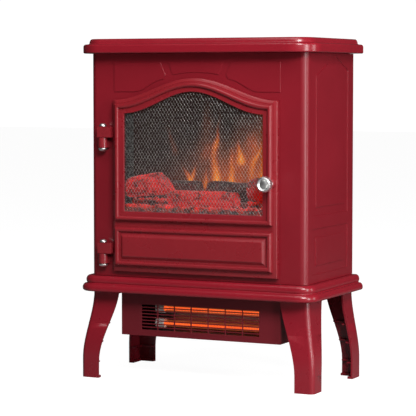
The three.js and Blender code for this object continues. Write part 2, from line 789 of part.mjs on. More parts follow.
function hingeKnuckle(z) {
  const height = HINGE_HEIGHT - GAP;
  const barrel = rod(HINGE_RADIUS, height, "z", [hingeX, hingeY, z - HINGE_HEIGHT], 24);
  const foot = block(
    [hingeX - HINGE_RADIUS, hingeX + HINGE_RADIUS],
    [hingeY, front - GAP],
    [z - HINGE_HEIGHT, z - HINGE_HEIGHT + height],
  );
  const bore = rod(HINGE_PIN_RADIUS + GAP, 40, "z", [hingeX, hingeY, z - 30], 16);
  return join(barrel, foot).subtract(bore);
}

function hingePin(z) {
  const seat = z + HINGE_HEIGHT + GAP;
  const foot = z - HINGE_HEIGHT - GAP;
  const dome = (reach, steps, from, rise) =>
    steps.map((i) => {
      const angle = (Math.PI / 8) * i;
      return [i < 4 ? reach * Math.cos(angle) : 0, from + rise * Math.sin(angle)];
    });
  const points = dome(HINGE_PIN_FOOT, [4, 3, 2, 1], foot - 1.5, -4.2);
  points.push([HINGE_PIN_FOOT, foot - 1.5], [HINGE_PIN_FOOT, foot], [HINGE_PIN_RADIUS, foot]);
  points.push([HINGE_PIN_RADIUS, seat], [HINGE_PIN_HEAD, seat], [HINGE_PIN_HEAD, seat + 1.5]);
  points.push(...dome(HINGE_PIN_HEAD, [1, 2, 3, 4], seat + 1.5, 4.2));
  return turned(points, "z", [hingeX, hingeY, 0], 20);
}

// ---------------------------------------------------------------- heater

function heaterHousing() {
  const x = heaterHalf;
  const wall = HEATER_WALL;
  const y0 = heaterFace + wall + GAP;
  const y1 = heaterFace + HEATER_DEPTH;
  const outside = block([-x, x], [y0, y1], [HEATER_BOTTOM, heaterTop]);
  const inside = block([-x + wall, x - wall], [y0 - 1, y1 - wall], [HEATER_BOTTOM + wall, heaterTop + 1]);
  return outside.subtract(inside);
}

function heaterFacePlate() {
  const x = heaterHalf;
  const depth = [heaterFace, heaterFace + HEATER_WALL];
  let plate = block([-x, x], depth, [HEATER_BOTTOM, heaterTop]);
  const slotHalf = (GRILLE_PITCH_X - GRILLE_BAR_X) / 2;
  const slotTall = (GRILLE_PITCH_Z - GRILLE_BAR_Z) / 2;
  for (let column = 0; column < GRILLE_COLUMNS; column++) {
    const cx = (column - (GRILLE_COLUMNS - 1) / 2) * GRILLE_PITCH_X;
    for (let row = 0; row < GRILLE_ROWS; row++) {
      const cz = GRILLE_TOP - row * GRILLE_PITCH_Z;
      const slot = block(
        [cx - slotHalf, cx + slotHalf],
        [heaterFace - 1, heaterFace + 5],
        [cz - slotTall, cz + slotTall],
      );
      plate = plate.subtract(slot);
    }
  }
  return plate;
}

const quartzTube = (z) =>
  turned(
    [
      [TUBE_RADIUS - TUBE_WALL, 0],
      [TUBE_RADIUS, 0],
      [TUBE_RADIUS, tubeRight - tubeLeft],
      [TUBE_RADIUS - TUBE_WALL, tubeRight - tubeLeft],
      [TUBE_RADIUS - TUBE_WALL, 0],
    ],
    "x",
    [tubeLeft, tubeY, z],
    16,
  );

const coil = (z) =>
  rod(COIL_RADIUS, tubeRight - tubeLeft - 4, "x", [tubeLeft + 2, tubeY, z], 12);

function tubeCap(z, side) {
  const end = side < 0 ? tubeLeft : tubeRight;
  const from = side < 0 ? end + CAP_SOCKET - CAP_LENGTH : end - CAP_SOCKET;
  const cap = rod(CAP_RADIUS, CAP_LENGTH, "x", [from, tubeY, z], 18);
  const socketStart = side < 0 ? end - GAP : end - CAP_SOCKET - 1;
  const socket = rod(TUBE_RADIUS + GAP, CAP_SOCKET + 1 + GAP, "x", [socketStart, tubeY, z], 18);
  return cap.subtract(socket);
}

// Bent sheet behind the tubes, open at the front.
function reflector() {
  const low = TUBE_LEVELS[0] - 15;
  const high = TUBE_LEVELS[1] + 17;
  const deep = tubeY + REFLECTOR_REACH;
  const near = tubeY - 12;
  const sheet = REFLECTOR_SHEET;
  const outer = [[near, low], [tubeY + 12, low + 2], [deep, low + 16], [deep, high - 14], [tubeY + 12, high]];
  outer.push([near, high + 4]);
  const inner = [[near, high + 4 - sheet], [tubeY + 12 - 0.4, high - sheet], [deep - sheet, high - 14.4]];
  inner.push([deep - sheet, low + 16.4], [tubeY + 12 - 0.4, low + 2 + sheet], [near, low + sheet]);
  const shape = new THREE.Shape([...outer, ...inner].map((p) => new THREE.Vector2(...p)));
  return prism(shape, "x", [tubeLeft - 24, tubeRight + 16]);
}

const blowerFrom = -90;
const blowerTo = blowerFrom + IMPELLER_LENGTH;

// Scroll round the impeller: two end plates joined by a curved wall, open above and in front.
function blowerHousing() {
  const r = IMPELLER_RADIUS + 5;
  const curve = new THREE.Shape();
  curve.absarc(blowerY, blowerZ, r + 1.2, -2.2, 0.5, false);
  curve.absarc(blowerY, blowerZ, r, 0.5, -2.2, true);
  const wall = prism(curve, "x", [blowerFrom - 4, blowerFrom + IMPELLER_LENGTH + 4], 16);
  const plate = (x) => block([x, x + 1.2], [blowerY - r, blowerY + r + 1], [blowerZ - r - 1, blowerZ + r]);
  const bore = rod(SHAFT_RADIUS + RUNNING, 200, "x", [blowerFrom - 20, blowerY, blowerZ], 16);
  return join(wall, plate(blowerFrom - 4), plate(blowerTo + 2.8)).subtract(bore);
}

function blowerRotor() {
  const disc = (x) => rod(IMPELLER_RADIUS, 1.2, "x", [x, blowerY, blowerZ], 28);
  const discs = [blowerFrom, blowerFrom + IMPELLER_LENGTH / 2 - 0.6, blowerTo - 1.2].map(disc);
  let rotor = join(...discs);
  for (let i = 0; i < IMPELLER_BLADES; i++) {
    const geometry = new THREE.BoxGeometry(IMPELLER_LENGTH - 0.4, 5, 0.8);
    geometry.rotateX(0.6);
    geometry.translate(0, IMPELLER_RADIUS - 3.4, 0);
    geometry.rotateX((2 * Math.PI * i) / IMPELLER_BLADES);
    geometry.translate((blowerFrom + blowerTo) / 2, blowerY, blowerZ);
    rotor = rotor.add(solidOf(geometry));
  }
  const shaft = rod(SHAFT_RADIUS, IMPELLER_LENGTH + 26, "x", [blowerFrom - 8, blowerY, blowerZ], 14);
  return rotor.add(shaft);
}

function blowerMotor() {
  const start = blowerTo + 6;
  const body = turned(
    [
      [0, 0],
      [8, 0],
      [8, 2],
      [BLOWER_MOTOR_RADIUS - 2, 2],
      [BLOWER_MOTOR_RADIUS, 4],
      [BLOWER_MOTOR_RADIUS, BLOWER_MOTOR_LENGTH - 2],
      [BLOWER_MOTOR_RADIUS - 2, BLOWER_MOTOR_LENGTH],
      [0, BLOWER_MOTOR_LENGTH],
    ],
    "x",
    [start, blowerY, blowerZ],
    24,
  );
  const bore = rod(SHAFT_RADIUS + RUNNING, 20, "x", [start - 1, blowerY, blowerZ], 16);
  return body.subtract(bore);
}

// ---------------------------------------------------------------- firebox

function fireboxLiner() {
  const w = LINER_WALL;
  const depth = [linerFront, linerFront + LINER_DEPTH];
  const outside = block([-linerHalf, linerHalf], depth, [linerBottom, linerTop]);
  const inside = block([-linerHalf + w, linerHalf - w], [depth[0] - 1, depth[1] - w], [
    linerBottom + w,
    linerTop - w,
  ]);
  const bores = rod(ROTOR_RADIUS + RUNNING, 2 * linerHalf + 10, "x", [-linerHalf - 5, rotorY, rotorZ], 16);
  return cut(outside, inside, bores);
}

const emberTop = linerBottom + LINER_WALL + GAP + EMBER_HEIGHT;

function emberBed() {
  const x = linerHalf - LINER_WALL - 4;
  const y0 = linerFront + 6;
  const y1 = y0 + EMBER_DEPTH;
  const z0 = linerBottom + LINER_WALL + GAP;
  const edge = (inset) => boxOutline(x - inset, y0 + inset, y1 - inset);
  const level = (inset, z) => edge(inset).map((p) => new THREE.Vector3(p.x, p.y, z));
  const outside = loft([level(0, z0), level(0, z0 + 12), level(9, emberTop)]);
  const rise = block([-x + 14, x - 14], [y0 + 38, y1 - 5], [z0 + 11, emberTop + EMBER_STEP]);
  const inside = loft([level(2, z0 - 1), level(2, z0 + 11.5), level(11, emberTop - 2)]);
  return outside.add(rise).subtract(inside);
}

// A log is a tapered rod with a few knots, cut square at both ends.
function log([x0, y0, z0], [x1, y1, z1], radius) {
  const from = new THREE.Vector3(x0, y0, z0);
  const along = new THREE.Vector3(x1, y1, z1).sub(from);
  const length = along.length();
  const points = [[0, 0], [radius * 0.9, 0], [radius, 0.2], [radius * 0.93, 0.45], [radius * 1.02, 0.62]];
  points.push([radius * 0.9, 0.85], [radius * 0.8, 1], [0, 1]);
  const profile = points.map(([r, t]) => new THREE.Vector2(r, t * length));
  const geometry = new THREE.LatheGeometry(profile, 12);
  const turn = new THREE.Quaternion().setFromUnitVectors(new THREE.Vector3(0, 1, 0), along.normalize());
  geometry.applyQuaternion(turn);
  geometry.translate(x0, y0, z0);
  return solidOf(geometry);
}

// Thin rod carrying flat bright flags that throw moving light on the screen.
function flameRotor() {
  const from = -linerHalf - 12;
  const length = 2 * linerHalf + 16;
  let rotor = rod(ROTOR_RADIUS, length, "x", [from, rotorY, rotorZ], 12);
  const pitch = (2 * linerHalf - 40) / ROTOR_FLAGS;
  for (let i = 0; i < ROTOR_FLAGS; i++) {
    const geometry = new THREE.BoxGeometry(pitch * 0.7, 2 * ROTOR_FLAG_REACH, 0.8);
    geometry.rotateX((i * Math.PI) / 3);
    geometry.translate((i - (ROTOR_FLAGS - 1) / 2) * pitch, rotorY, rotorZ);
    rotor = rotor.add(solidOf(geometry));
  }
  return rotor;
}

function flameMotor() {
  const end = -linerHalf - 1.5;
  const start = end - ROTOR_MOTOR_LENGTH;
  const body = rod(ROTOR_MOTOR_RADIUS, ROTOR_MOTOR_LENGTH, "x", [start, rotorY, rotorZ], 24);
  const bore = rod(ROTOR_RADIUS + RUNNING, 13, "x", [end - 12, rotorY, rotorZ], 16);
  return body.subtract(bore);
}

// ---------------------------------------------------------------- controls

const buttonNames = ["power", "flame", "heat"];
const buttonX = (i) => (i - 1) * BUTTON_PITCH;

function controlPlate() {
  const x = CONTROL_WIDTH / 2 + 8;
  const z = CONTROL_HEIGHT / 2 + 6;
  const depth = [behindFront, behindFront + CONTROL_PLATE];
  let plate = block([-x, x], depth, [controlMiddle - z, controlMiddle + z]);
  const w = BUTTON_WIDTH / 2 + RUNNING;
  const h = BUTTON_HEIGHT / 2 + RUNNING;
  buttonNames.forEach((_, i) => {
    const hole = block(
      [buttonX(i) - w, buttonX(i) + w],
      [behindFront - 5, behindFront + 5],
      [controlMiddle - h, controlMiddle + h],
    );
    plate = plate.subtract(hole);
  });
  return plate;
}

// Cap through the plate, with a flange behind it that keeps the button in.
function button(i) {
  const plateBack = behindFront + CONTROL_PLATE;
  const x = buttonX(i);
  const w = BUTTON_WIDTH / 2;
  const h = BUTTON_HEIGHT / 2;
  const flange = plateBack + GAP;
  const z = controlMiddle;
  return join(
    block([x - w, x + w], [behindFront - BUTTON_REACH, flange + 1], [z - h, z + h]),
    block([x - w - 2, x + w + 2], [flange, flange + 1.2], [z - h - 2, z + h + 2]),
    rod(2, 6, "y", [x, flange, z], 12),
  );
}

// ---------------------------------------------------------------- back

const switchAt = [half - 46, cabinetBottom + 45];
const glandAt = [-half + 46, cabinetBottom + 45];
const panelBack = back + GAP + BACK_SHEET;

function backPanel() {
  const x = half - 1.5;
  let sheet = block([-x, x], [back + GAP, panelBack], [cabinetBottom + 1, cabinetTop - 1]);
  for (let i = 0; i < VENT_SLOTS; i++) {
    const z = cabinetBottom + VENT_MIDDLE + (i - (VENT_SLOTS - 1) / 2) * VENT_PITCH;
    const depth = [back - 5, back + 5];
    sheet = sheet.subtract(block([-VENT_WIDTH / 2, VENT_WIDTH / 2], depth, [z, z + VENT_SLOT]));
  }
  sheet = sheet.subtract(
    block(
      [switchAt[0] - SWITCH_WIDTH / 2 - GAP, switchAt[0] + SWITCH_WIDTH / 2 + GAP],
      [back - 5, back + 5],
      [switchAt[1] - SWITCH_HEIGHT / 2 - GAP, switchAt[1] + SWITCH_HEIGHT / 2 + GAP],
    ),
  );
  sheet = sheet.subtract(rod(GLAND_RADIUS - 2 + GAP, 20, "-y", [glandAt[0], back + 10, glandAt[1]], 24));
  for (const [x, z] of backScrews) {
    sheet = sheet.subtract(rod(BACK_SCREW_SHANK + GAP, 20, "-y", [x, back + 10, z], 12));
  }
  return sheet;
}

const backScrew = ([x, z]) =>
  turned(
    [
      [0, 0],
      [BACK_SCREW_SHANK, 0],
      [BACK_SCREW_SHANK, 8 + GAP],
      [BACK_SCREW_HEAD, 8 + GAP],
      [BACK_SCREW_HEAD * 0.8, 8 + GAP + 1.8],
      [0, 8 + GAP + 2.4],
    ],
    "y",
    [x, panelBack - 8, z],
    14,
  );

function cordGland() {
  const shank = GLAND_RADIUS - 2;
  return turned(
    [
      [GLAND_BORE, -8],
      [shank, -8],
      [shank, GAP],
      [GLAND_RADIUS, GAP],
      [GLAND_RADIUS, GAP + 2.5],
      [shank - 1, GAP + GLAND_REACH],
      [GLAND_BORE, GAP + GLAND_REACH],
      [GLAND_BORE, -8],
    ],
    "y",
    [glandAt[0], panelBack, glandAt[1]],
    24,
  );
}

// Body of the switch: a rim outside the panel and a box through it, open at the back.
function switchBezel() {
  const [x, z] = switchAt;
  const [w, h] = [SWITCH_WIDTH / 2, SWITCH_HEIGHT / 2];
  const rim = block([x - w - 2, x + w + 2], [panelBack + GAP, panelBack + 2], [z - h - 2, z + h + 2]);
  const body = block([x - w, x + w], [panelBack - 12, panelBack + 1], [z - h, z + h]);
  const [rw, rh] = [ROCKER_WIDTH / 2 + RUNNING, ROCKER_HEIGHT / 2 + 0.9];
  const hole = block([x - rw, x + rw], [panelBack - 13, panelBack + 5], [z - rh, z + rh]);
  const pivot = rod(1.5 + GAP, ROCKER_WIDTH + 5, "x", [x - ROCKER_WIDTH / 2 - 2.5, rockerY, z], 14);
  return cut(join(rim, body), hole, pivot);
}

const rockerY = panelBack - 3;

// The rocker turns on two small trunnions; its face is a shallow V.
function rocker() {
  const h = ROCKER_HEIGHT / 2;
  const points = [[-4, 0], [-2, -h + 2], [3, -h], [6.2, -h], [4.8, 0], [6.2, h], [3, h], [-2, h - 2]];
  const shape = new THREE.Shape(points.map((p) => new THREE.Vector2(...p)));
  const body = prism(shape, "x", [-ROCKER_WIDTH / 2, ROCKER_WIDTH / 2]);
  return body.add(rod(1.5, ROCKER_WIDTH + 4, "x", [-ROCKER_WIDTH / 2 - 2, 0, 0], 14));
}

// ---------------------------------------------------------------- the object

piece("cabinet_shell", cabinetShell(), RED);
piece("top_plate", topPlate(), RED);
piece("base_moulding", baseMoulding(), RED);
piece("base_pan", basePan(), BLACK);
for (const [name, sideX, sideY] of [
  ["leg_front_left", -1, -1],
  ["leg_front_right", 1, -1],
  ["leg_rear_left", -1, 1],
  ["leg_rear_right", 1, 1],
]) {
  piece(name, leg(sideX, sideY), RED);
}

piece("door_frame", doorFrame(), RED);
const meshSheet = new THREE.Shape(meshOutline(0));
const meshY = meshFront + GAP;
piece("door_mesh", prism(meshSheet, "y", [meshY, meshY + MESH_THICKNESS]), SILVER);
piece("mesh_retainer", meshRetainer(), BLACK);
piece("door_knob", knob(), SILVER);
piece("knob_screw", knobScrew(), BRIGHT);
["lower", "upper"].forEach((level, i) => {
  piece(`hinge_leaf_${level}`, hingeLeaf(hingeLevels[i]), RED);
  piece(`hinge_knuckle_${level}`, hingeKnuckle(hingeLevels[i]), RED);
  piece(`hinge_pin_${level}`, hingePin(hingeLevels[i]), SILVER);
});
const catchSide = [catchX - CATCH_WIDTH / 2, catchX + CATCH_WIDTH / 2];
const catchTall = [catchZ - CATCH_HEIGHT / 2, catchZ + CATCH_HEIGHT / 2];
piece("catch_magnet", block(catchSide, [front - 0.5, front + 9], catchTall), BLACK);
piece("catch_strike", block(catchSide, [doorBack - 1.7, doorBack - 0.1], catchTall), BRIGHT);

piece("heater_housing", heaterHousing(), DARK_RED);
piece("heater_face", heaterFacePlate(), DARK_RED);
piece("reflector", reflector(), BRIGHT);
["lower", "upper"].forEach((level, i) => {
  const z = TUBE_LEVELS[i];
  piece(`quartz_tube_${level}`, quartzTube(z), QUARTZ);
  piece(`heating_coil_${level}`, coil(z), GLOW);
  piece(`tube_cap_${level}_left`, tubeCap(z, -1), CERAMIC);
  piece(`tube_cap_${level}_right`, tubeCap(z, 1), CERAMIC);
});
piece("blower_housing", blowerHousing(), BLACK);
piece("blower_rotor", blowerRotor(), BLACK);
piece("blower_motor", blowerMotor(), SILVER);

piece("firebox_liner", fireboxLiner(), BLACK);
piece("ember_bed", emberBed(), EMBER);
const bed = emberTop + GAP;
const step = bed + EMBER_STEP;
piece("log_left", log([-136, -72, bed + 32], [-88, -71, bed + 43], 22), BARK);
piece("log_front", log([-60, -78, bed + 15.5], [62, -74, bed + 15.5], 14.5), BARK);
piece("log_rear_left", log([-84, -38, step + 19], [-24, -42, step + 16], 16), BARK);
piece("log_rear_right", log([-4, -42, step + 16], [70, -38, step + 19], 16), BARK);
piece("log_right", log([82, -62, step + 21], [148, -66, step + 23], 20), BARK);
const screenBottom = linerBottom + LINER_WALL + GAP;
const screenHalf = linerHalf - LINER_WALL - 1;
const screenShape = new THREE.Shape(boxOutline(screenHalf, screenBottom, linerTop - LINER_WALL - 1));
piece("flame_screen", prism(screenShape, "y", [screenY, screenY + SCREEN_THICKNESS]), FLAME);
piece("flame_rotor", flameRotor(), BRIGHT);
piece("flame_motor", flameMotor(), SILVER);
const ledDepth = [rotorY - LED_BOARD_DEPTH / 2, rotorY + LED_BOARD_DEPTH / 2];
piece("led_board", block([-140, 140], ledDepth, [screenBottom, screenBottom + BOARD_THICKNESS]), BOARD);

piece("control_plate", controlPlate(), BLACK);
buttonNames.forEach((name, i) => piece(`button_${name}`, button(i), KEY));
const boardY = behindFront + CONTROL_PLATE + BOARD_SETBACK;
const boardDepth = [boardY, boardY + BOARD_THICKNESS];
const boardTall = [controlMiddle - 18, controlMiddle + 18];
piece("control_board", block([-75, 75], boardDepth, boardTall), BOARD);

piece("back_panel", backPanel(), BLACK);
["left_lower", "left_upper", "right_lower", "right_upper"].forEach((name, i) => {
  piece(`back_screw_${name}`, backScrew(backScrews[i]), BRIGHT);
});
piece("cord_gland", cordGland(), BLACK);
piece("switch_bezel", switchBezel(), BLACK);
const rockerMesh = piece("switch_rocker", rocker(), KEY);
rockerMesh.position.set(switchAt[0], rockerY, switchAt[1]);
rockerMesh.rotation.x = ROCKER_TILT;

// The origin goes on the floor, under the middle of the whole object.
const limits = new THREE.Box3().setFromObject(object);
object.position.y = -(limits.min.y + limits.max.y) / 2;

export default object;
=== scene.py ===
import math

import bmesh
import bpy
from mathutils import Matrix, Vector, noise


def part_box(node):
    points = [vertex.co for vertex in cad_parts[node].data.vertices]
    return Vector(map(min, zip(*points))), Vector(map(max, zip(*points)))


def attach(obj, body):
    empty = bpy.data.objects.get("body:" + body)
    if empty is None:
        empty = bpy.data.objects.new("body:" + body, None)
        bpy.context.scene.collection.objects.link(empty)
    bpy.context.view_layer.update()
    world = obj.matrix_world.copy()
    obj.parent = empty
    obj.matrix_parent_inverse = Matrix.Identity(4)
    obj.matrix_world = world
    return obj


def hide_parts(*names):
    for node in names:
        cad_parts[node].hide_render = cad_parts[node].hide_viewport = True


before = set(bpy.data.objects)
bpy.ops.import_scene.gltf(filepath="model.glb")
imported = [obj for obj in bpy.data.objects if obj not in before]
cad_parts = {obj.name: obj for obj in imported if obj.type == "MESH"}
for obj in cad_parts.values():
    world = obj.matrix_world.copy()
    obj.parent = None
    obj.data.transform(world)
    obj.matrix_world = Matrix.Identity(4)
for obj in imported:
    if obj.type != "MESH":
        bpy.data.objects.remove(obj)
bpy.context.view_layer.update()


# ---------------------------------------------------------------- studio
# A long lens stands a little to the right of the stove and slightly above its middle.
# A large softbox hangs over the right front corner, with a weaker panel overhead and two upright
# strips on the right, and the stove stands on a seamless white floor.


def shader(name):
    material = bpy.data.materials.new(name)
    material.use_nodes = True
    return material, material.node_tree, material.node_tree.nodes["Principled BSDF"]


def wire_up(tree, kind, sockets=None, **settings):
    """Adds one node. A socket is given either a value or another node's output."""
    made = tree.nodes.new(kind)
    for key, value in settings.items():
        setattr(made, key, value)
    for socket, value in (sockets or {}).items():
        if isinstance(value, bpy.types.NodeSocket):
            tree.links.new(value, made.inputs[socket])
        else:
            made.inputs[socket].default_value = value
    return made


def softbox(name, place, target, width, height, power, colour=(1, 1, 1)):
    lamp = bpy.data.lights.new(name, "AREA")
    lamp.shape = "RECTANGLE"
    lamp.size = width
    lamp.size_y = height
    lamp.energy = power
    lamp.color = colour
    holder = bpy.data.objects.new(name, lamp)
    bpy.context.scene.collection.objects.link(holder)
    holder.location = place
    aim = Vector(target) - Vector(place)
    holder.rotation_euler = aim.to_track_quat("-Z", "Y").to_euler()


lens = bpy.data.cameras.new("studio_camera")
lens.lens = 159.93
lens.sensor_width = 36
camera = bpy.data.objects.new("studio_camera", lens)
bpy.context.scene.collection.objects.link(camera)
camera.location = (1.3218, -2.79525, 0.5023)
camera.rotation_euler = (math.radians(90 - 3.99), 0, math.radians(25.61))
bpy.context.scene.camera = camera
bpy.context.scene.view_settings.view_transform = "Standard"

softbox("key_softbox", (1.5, -1.8, 1.7), (0, -0.05, 0.33), 0.8, 0.8, 68)
softbox("overhead_panel", (0.1, -1.1, 2.1), (0, -0.05, 0.3), 1.6, 1.0, 18)
softbox("corner_strip", (2.2, -1.0, 0.6), (0.2, -0.05, 0.35), 0.45, 1.3, 26)
softbox("edge_strip", (2.3, 0.35, 0.6), (0.2, 0, 0.35), 0.4, 1.3, 11)

sky = bpy.data.worlds.new("studio_sky")
sky.use_nodes = True
bpy.context.scene.world = sky
sky_tree = sky.node_tree
seen = sky_tree.nodes["Background"]
seen.inputs["Color"].default_value = (1, 1, 1, 1)
seen.inputs["Strength"].default_value = 1.05
dim = wire_up(sky_tree, "ShaderNodeBackground", {"Color": (1, 0.97, 0.95, 1), "Strength": 0.045})
direct = wire_up(sky_tree, "ShaderNodeLightPath")
choice = wire_up(
    sky_tree,
    "ShaderNodeMixShader",
    {0: direct.outputs["Is Camera Ray"], 1: dim.outputs[0], 2: seen.outputs[0]},
)
sky_tree.links.new(choice.outputs[0], sky_tree.nodes["World Output"].inputs["Surface"])

floor_mesh = bpy.data.meshes.new("studio_floor")
reach = 14
floor_mesh.from_pydata(
    [(-reach, -reach, 0), (reach, -reach, 0), (reach, reach, 0), (-reach, reach, 0)],
    [],
    [(0, 1, 2, 3)],
)
floor = bpy.data.objects.new("studio_floor", floor_mesh)
bpy.context.scene.collection.objects.link(floor)
paper, paper_tree, paper_surface = shader("white_paper")
paper_surface.inputs["Base Color"].default_value = (0.26, 0.26, 0.26, 1)
paper_surface.inputs["Roughness"].default_value = 0.9
paper_surface.inputs["Specular IOR Level"].default_value = 0.1
paper_glow = wire_up(paper_tree, "ShaderNodeEmission")
paper_path = wire_up(paper_tree, "ShaderNodeLightPath")
paper_seen = wire_up(
    paper_tree,
    "ShaderNodeMath",
    {0: paper_path.outputs["Is Camera Ray"], 1: 0.96},
    operation="MULTIPLY",
)
paper_tree.links.new(paper_seen.outputs[0], paper_glow.inputs["Strength"])
paper_sum = wire_up(
    paper_tree, "ShaderNodeAddShader", {0: paper_surface.outputs[0], 1: paper_glow.outputs[0]}
)
paper_tree.links.new(
    paper_sum.outputs[0], paper_tree.nodes["Material Output"].inputs["Surface"]
)
floor_mesh.materials.append(paper)


# ---------------------------------------------------------------- cabinet body
# One sheet of steel is folded round the front and both sides, with pads pressed out over the
# door and fields outlined by pressed grooves on the sides. It is sprayed dark red and baked,
# which leaves a glossy skin with a very fine orange peel.


def ramp(tree, factor, *stops):
    """A colour ramp over a factor: each stop is (position, (r, g, b))."""
    made = wire_up(tree, "ShaderNodeValToRGB", {0: factor})
    elements = made.color_ramp.elements
    while len(elements) < len(stops):
        elements.new(0.5)
    for element, (position, colour) in zip(elements, stops):
        element.position = position
        element.color = (*colour, 1)
    return made.outputs["Color"]


def spread(tree, factor, low, high):
    """Maps a 0 to 1 pattern onto a range of values."""
    return wire_up(tree, "ShaderNodeMapRange", {0: factor, 3: low, 4: high}).outputs[0]


def pattern(tree, scale, detail=2.0, stretch=(1, 1, 1)):
    """Noise over the piece in metres: a scale of 1000 makes grains of about a millimetre."""
    place = wire_up(tree, "ShaderNodeTexCoord").outputs["Object"]
    placed = wire_up(tree, "ShaderNodeMapping", {"Vector": place, "Scale": stretch})
    cloud = wire_up(
        tree, "ShaderNodeTexNoise", {"Vector": placed.outputs[0], "Scale": scale, "Detail": detail}
    )
    return cloud.outputs["Fac"]


def relief(tree, surface, height, strength, depth):
    sockets = {"Height": height, "Strength": strength, "Distance": depth}
    bump = wire_up(tree, "ShaderNodeBump", sockets)
    tree.links.new(bump.outputs[0], surface.inputs["Normal"])


def red_enamel(name, deep, light, low_roughness, high_roughness, sheen_level, peel=0.05):
    material, tree, surface = shader(name)
    drift = pattern(tree, 7, 3)
    tree.links.new(ramp(tree, drift, (0.35, deep), (0.65, light)), surface.inputs["Base Color"])
    cloud = pattern(tree, 35, 3)
    tree.links.new(spread(tree, cloud, low_roughness, high_roughness), surface.inputs["Roughness"])
    surface.inputs["Specular IOR Level"].default_value = sheen_level
    relief(tree, surface, pattern(tree, 700, 2), peel, 0.0004)
    return material


def finished_copy(name, node, edge=0.0006, smooth=40, sharpness=30):
    """A joined-up copy of a node, its hard edges rounded over and its curves shaded smooth."""
    shape = bmesh.new()
    shape.from_mesh(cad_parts[node].data)
    bmesh.ops.remove_doubles(shape, verts=shape.verts, dist=2e-6)
    bmesh.ops.dissolve_limit(
        shape, angle_limit=math.radians(0.5), verts=shape.verts, edges=shape.edges
    )
    mesh = bpy.data.meshes.new(name)
    shape.to_mesh(mesh)
    shape.free()
    copy = bpy.data.objects.new(name, mesh)
    bpy.context.scene.collection.objects.link(copy)
    if edge:
        rounded = copy.modifiers.new("rounded", "BEVEL")
        rounded.width = edge
        rounded.segments = 2
        rounded.limit_method = "ANGLE"
        rounded.angle_limit = math.radians(sharpness)
        settle(copy)
    shade(copy, smooth)
    return copy


def shade(piece, smooth):
    """Shades curves smooth but lets each large face keep its own flat shading."""
    piece.data.shade_smooth()
    piece.data.set_sharp_from_angle(angle=math.radians(smooth))
    weighed = piece.modifiers.new("weighed", "WEIGHTED_NORMAL")
    weighed.keep_sharp = True
    settle(piece)


def settle(piece):
    """Turns what a piece's modifiers make into its plain mesh."""
    depsgraph = bpy.context.evaluated_depsgraph_get()
    mesh = bpy.data.meshes.new_from_object(
        piece.evaluated_get(depsgraph), preserve_all_data_layers=True, depsgraph=depsgraph
    )
    piece.modifiers.clear()
    piece.data = mesh


def fasten(piece, material, finish, body, *nodes):
    """Gives a piece its material, hides the nodes it stands for and fixes it. The finish argument
    is not used.
    """
    if material:
        piece.data.materials.clear()
        piece.data.materials.append(material)
    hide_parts(*nodes)
    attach(piece, body)
    return piece


cabinet_red = red_enamel(
    "cabinet_enamel", (0.19, 0.0065, 0.0135), (0.215, 0.008, 0.016), 0.3, 0.38, 0.45
)
cabinet = finished_copy("cabinet_body", "cabinet_shell", edge=0.0005)
fasten(cabinet, cabinet_red, "red_painted_steel", "cabinet", "cabinet_shell")


# ---------------------------------------------------------------- top plate and base moulding
# Two moulded slabs sandwich the cabinet: a stepped top with a thick rounded nose, and a base
# with a smaller one. They are moulded in red resin with the same satin surface.

moulding_red = red_enamel(
    "moulding_enamel", (0.225, 0.008, 0.0165), (0.255, 0.0095, 0.019), 0.2, 0.28, 0.5
)
top = finished_copy("top_slab", "top_plate", edge=0.0006, smooth=55)
fasten(top, moulding_red, "red_gloss_plastic", "cabinet", "top_plate")
base = finished_copy("base_slab", "base_moulding", edge=0.0005, smooth=55)
fasten(base, moulding_red, "red_gloss_plastic", "cabinet", "base_moulding")


# ---------------------------------------------------------------- legs
# Four hollow moulded legs flare outwards to small feet. Ribs inside stiffen them, and they
# are the same red as the base they are screwed to from below.

leg_red = red_enamel("leg_enamel", (0.205, 0.008, 0.016), (0.24, 0.0095, 0.019), 0.24, 0.32, 0.5)
for corner in ("front_left", "front_right", "rear_left", "rear_right"):
    leg = finished_copy("leg_moulding_" + corner, "leg_" + corner, edge=0.0008, smooth=60)
    fasten(leg, leg_red, "red_gloss_plastic", "cabinet", "leg_" + corner)


# ---------------------------------------------------------------- base pan and back sheet
# A black steel pan closes the cabinet over the heater, and a black steel sheet closes the
# back, with vent slots low down and openings for the cord and the main switch.


def black_coat(name, shade, roughness, grain, strength):
    material, tree, surface = shader(name)
    tint = ramp(tree, pattern(tree, 40, 4), (0.3, shade), (0.7, tuple(1.6 * c for c in shade)))
    tree.links.new(tint, surface.inputs["Base Color"])
    tree.links.new(
        spread(tree, pattern(tree, 60, 3), roughness - 0.06, roughness + 0.08),
        surface.inputs["Roughness"],
    )
    surface.inputs["Specular IOR Level"].default_value = 0.35
    relief(tree, surface, pattern(tree, grain, 2), strength, 0.0004)
    return material


black_powder = black_coat("black_powder_coat", (0.012, 0.011, 0.011), 0.55, 900, 0.25)
pan = finished_copy("closing_pan", "base_pan", edge=0.0002)
fasten(pan, black_powder, "black_steel", "cabinet", "base_pan")
back_sheet = finished_copy("back_sheet", "back_panel", edge=0.0002)
fasten(back_sheet, black_powder, "black_steel", "cabinet", "back_panel")


# ---------------------------------------------------------------- back screws
# Four zinc plated pan head screws with cross recesses hold the back sheet to the returns of
# the cabinet. One screw is made and set at each corner.


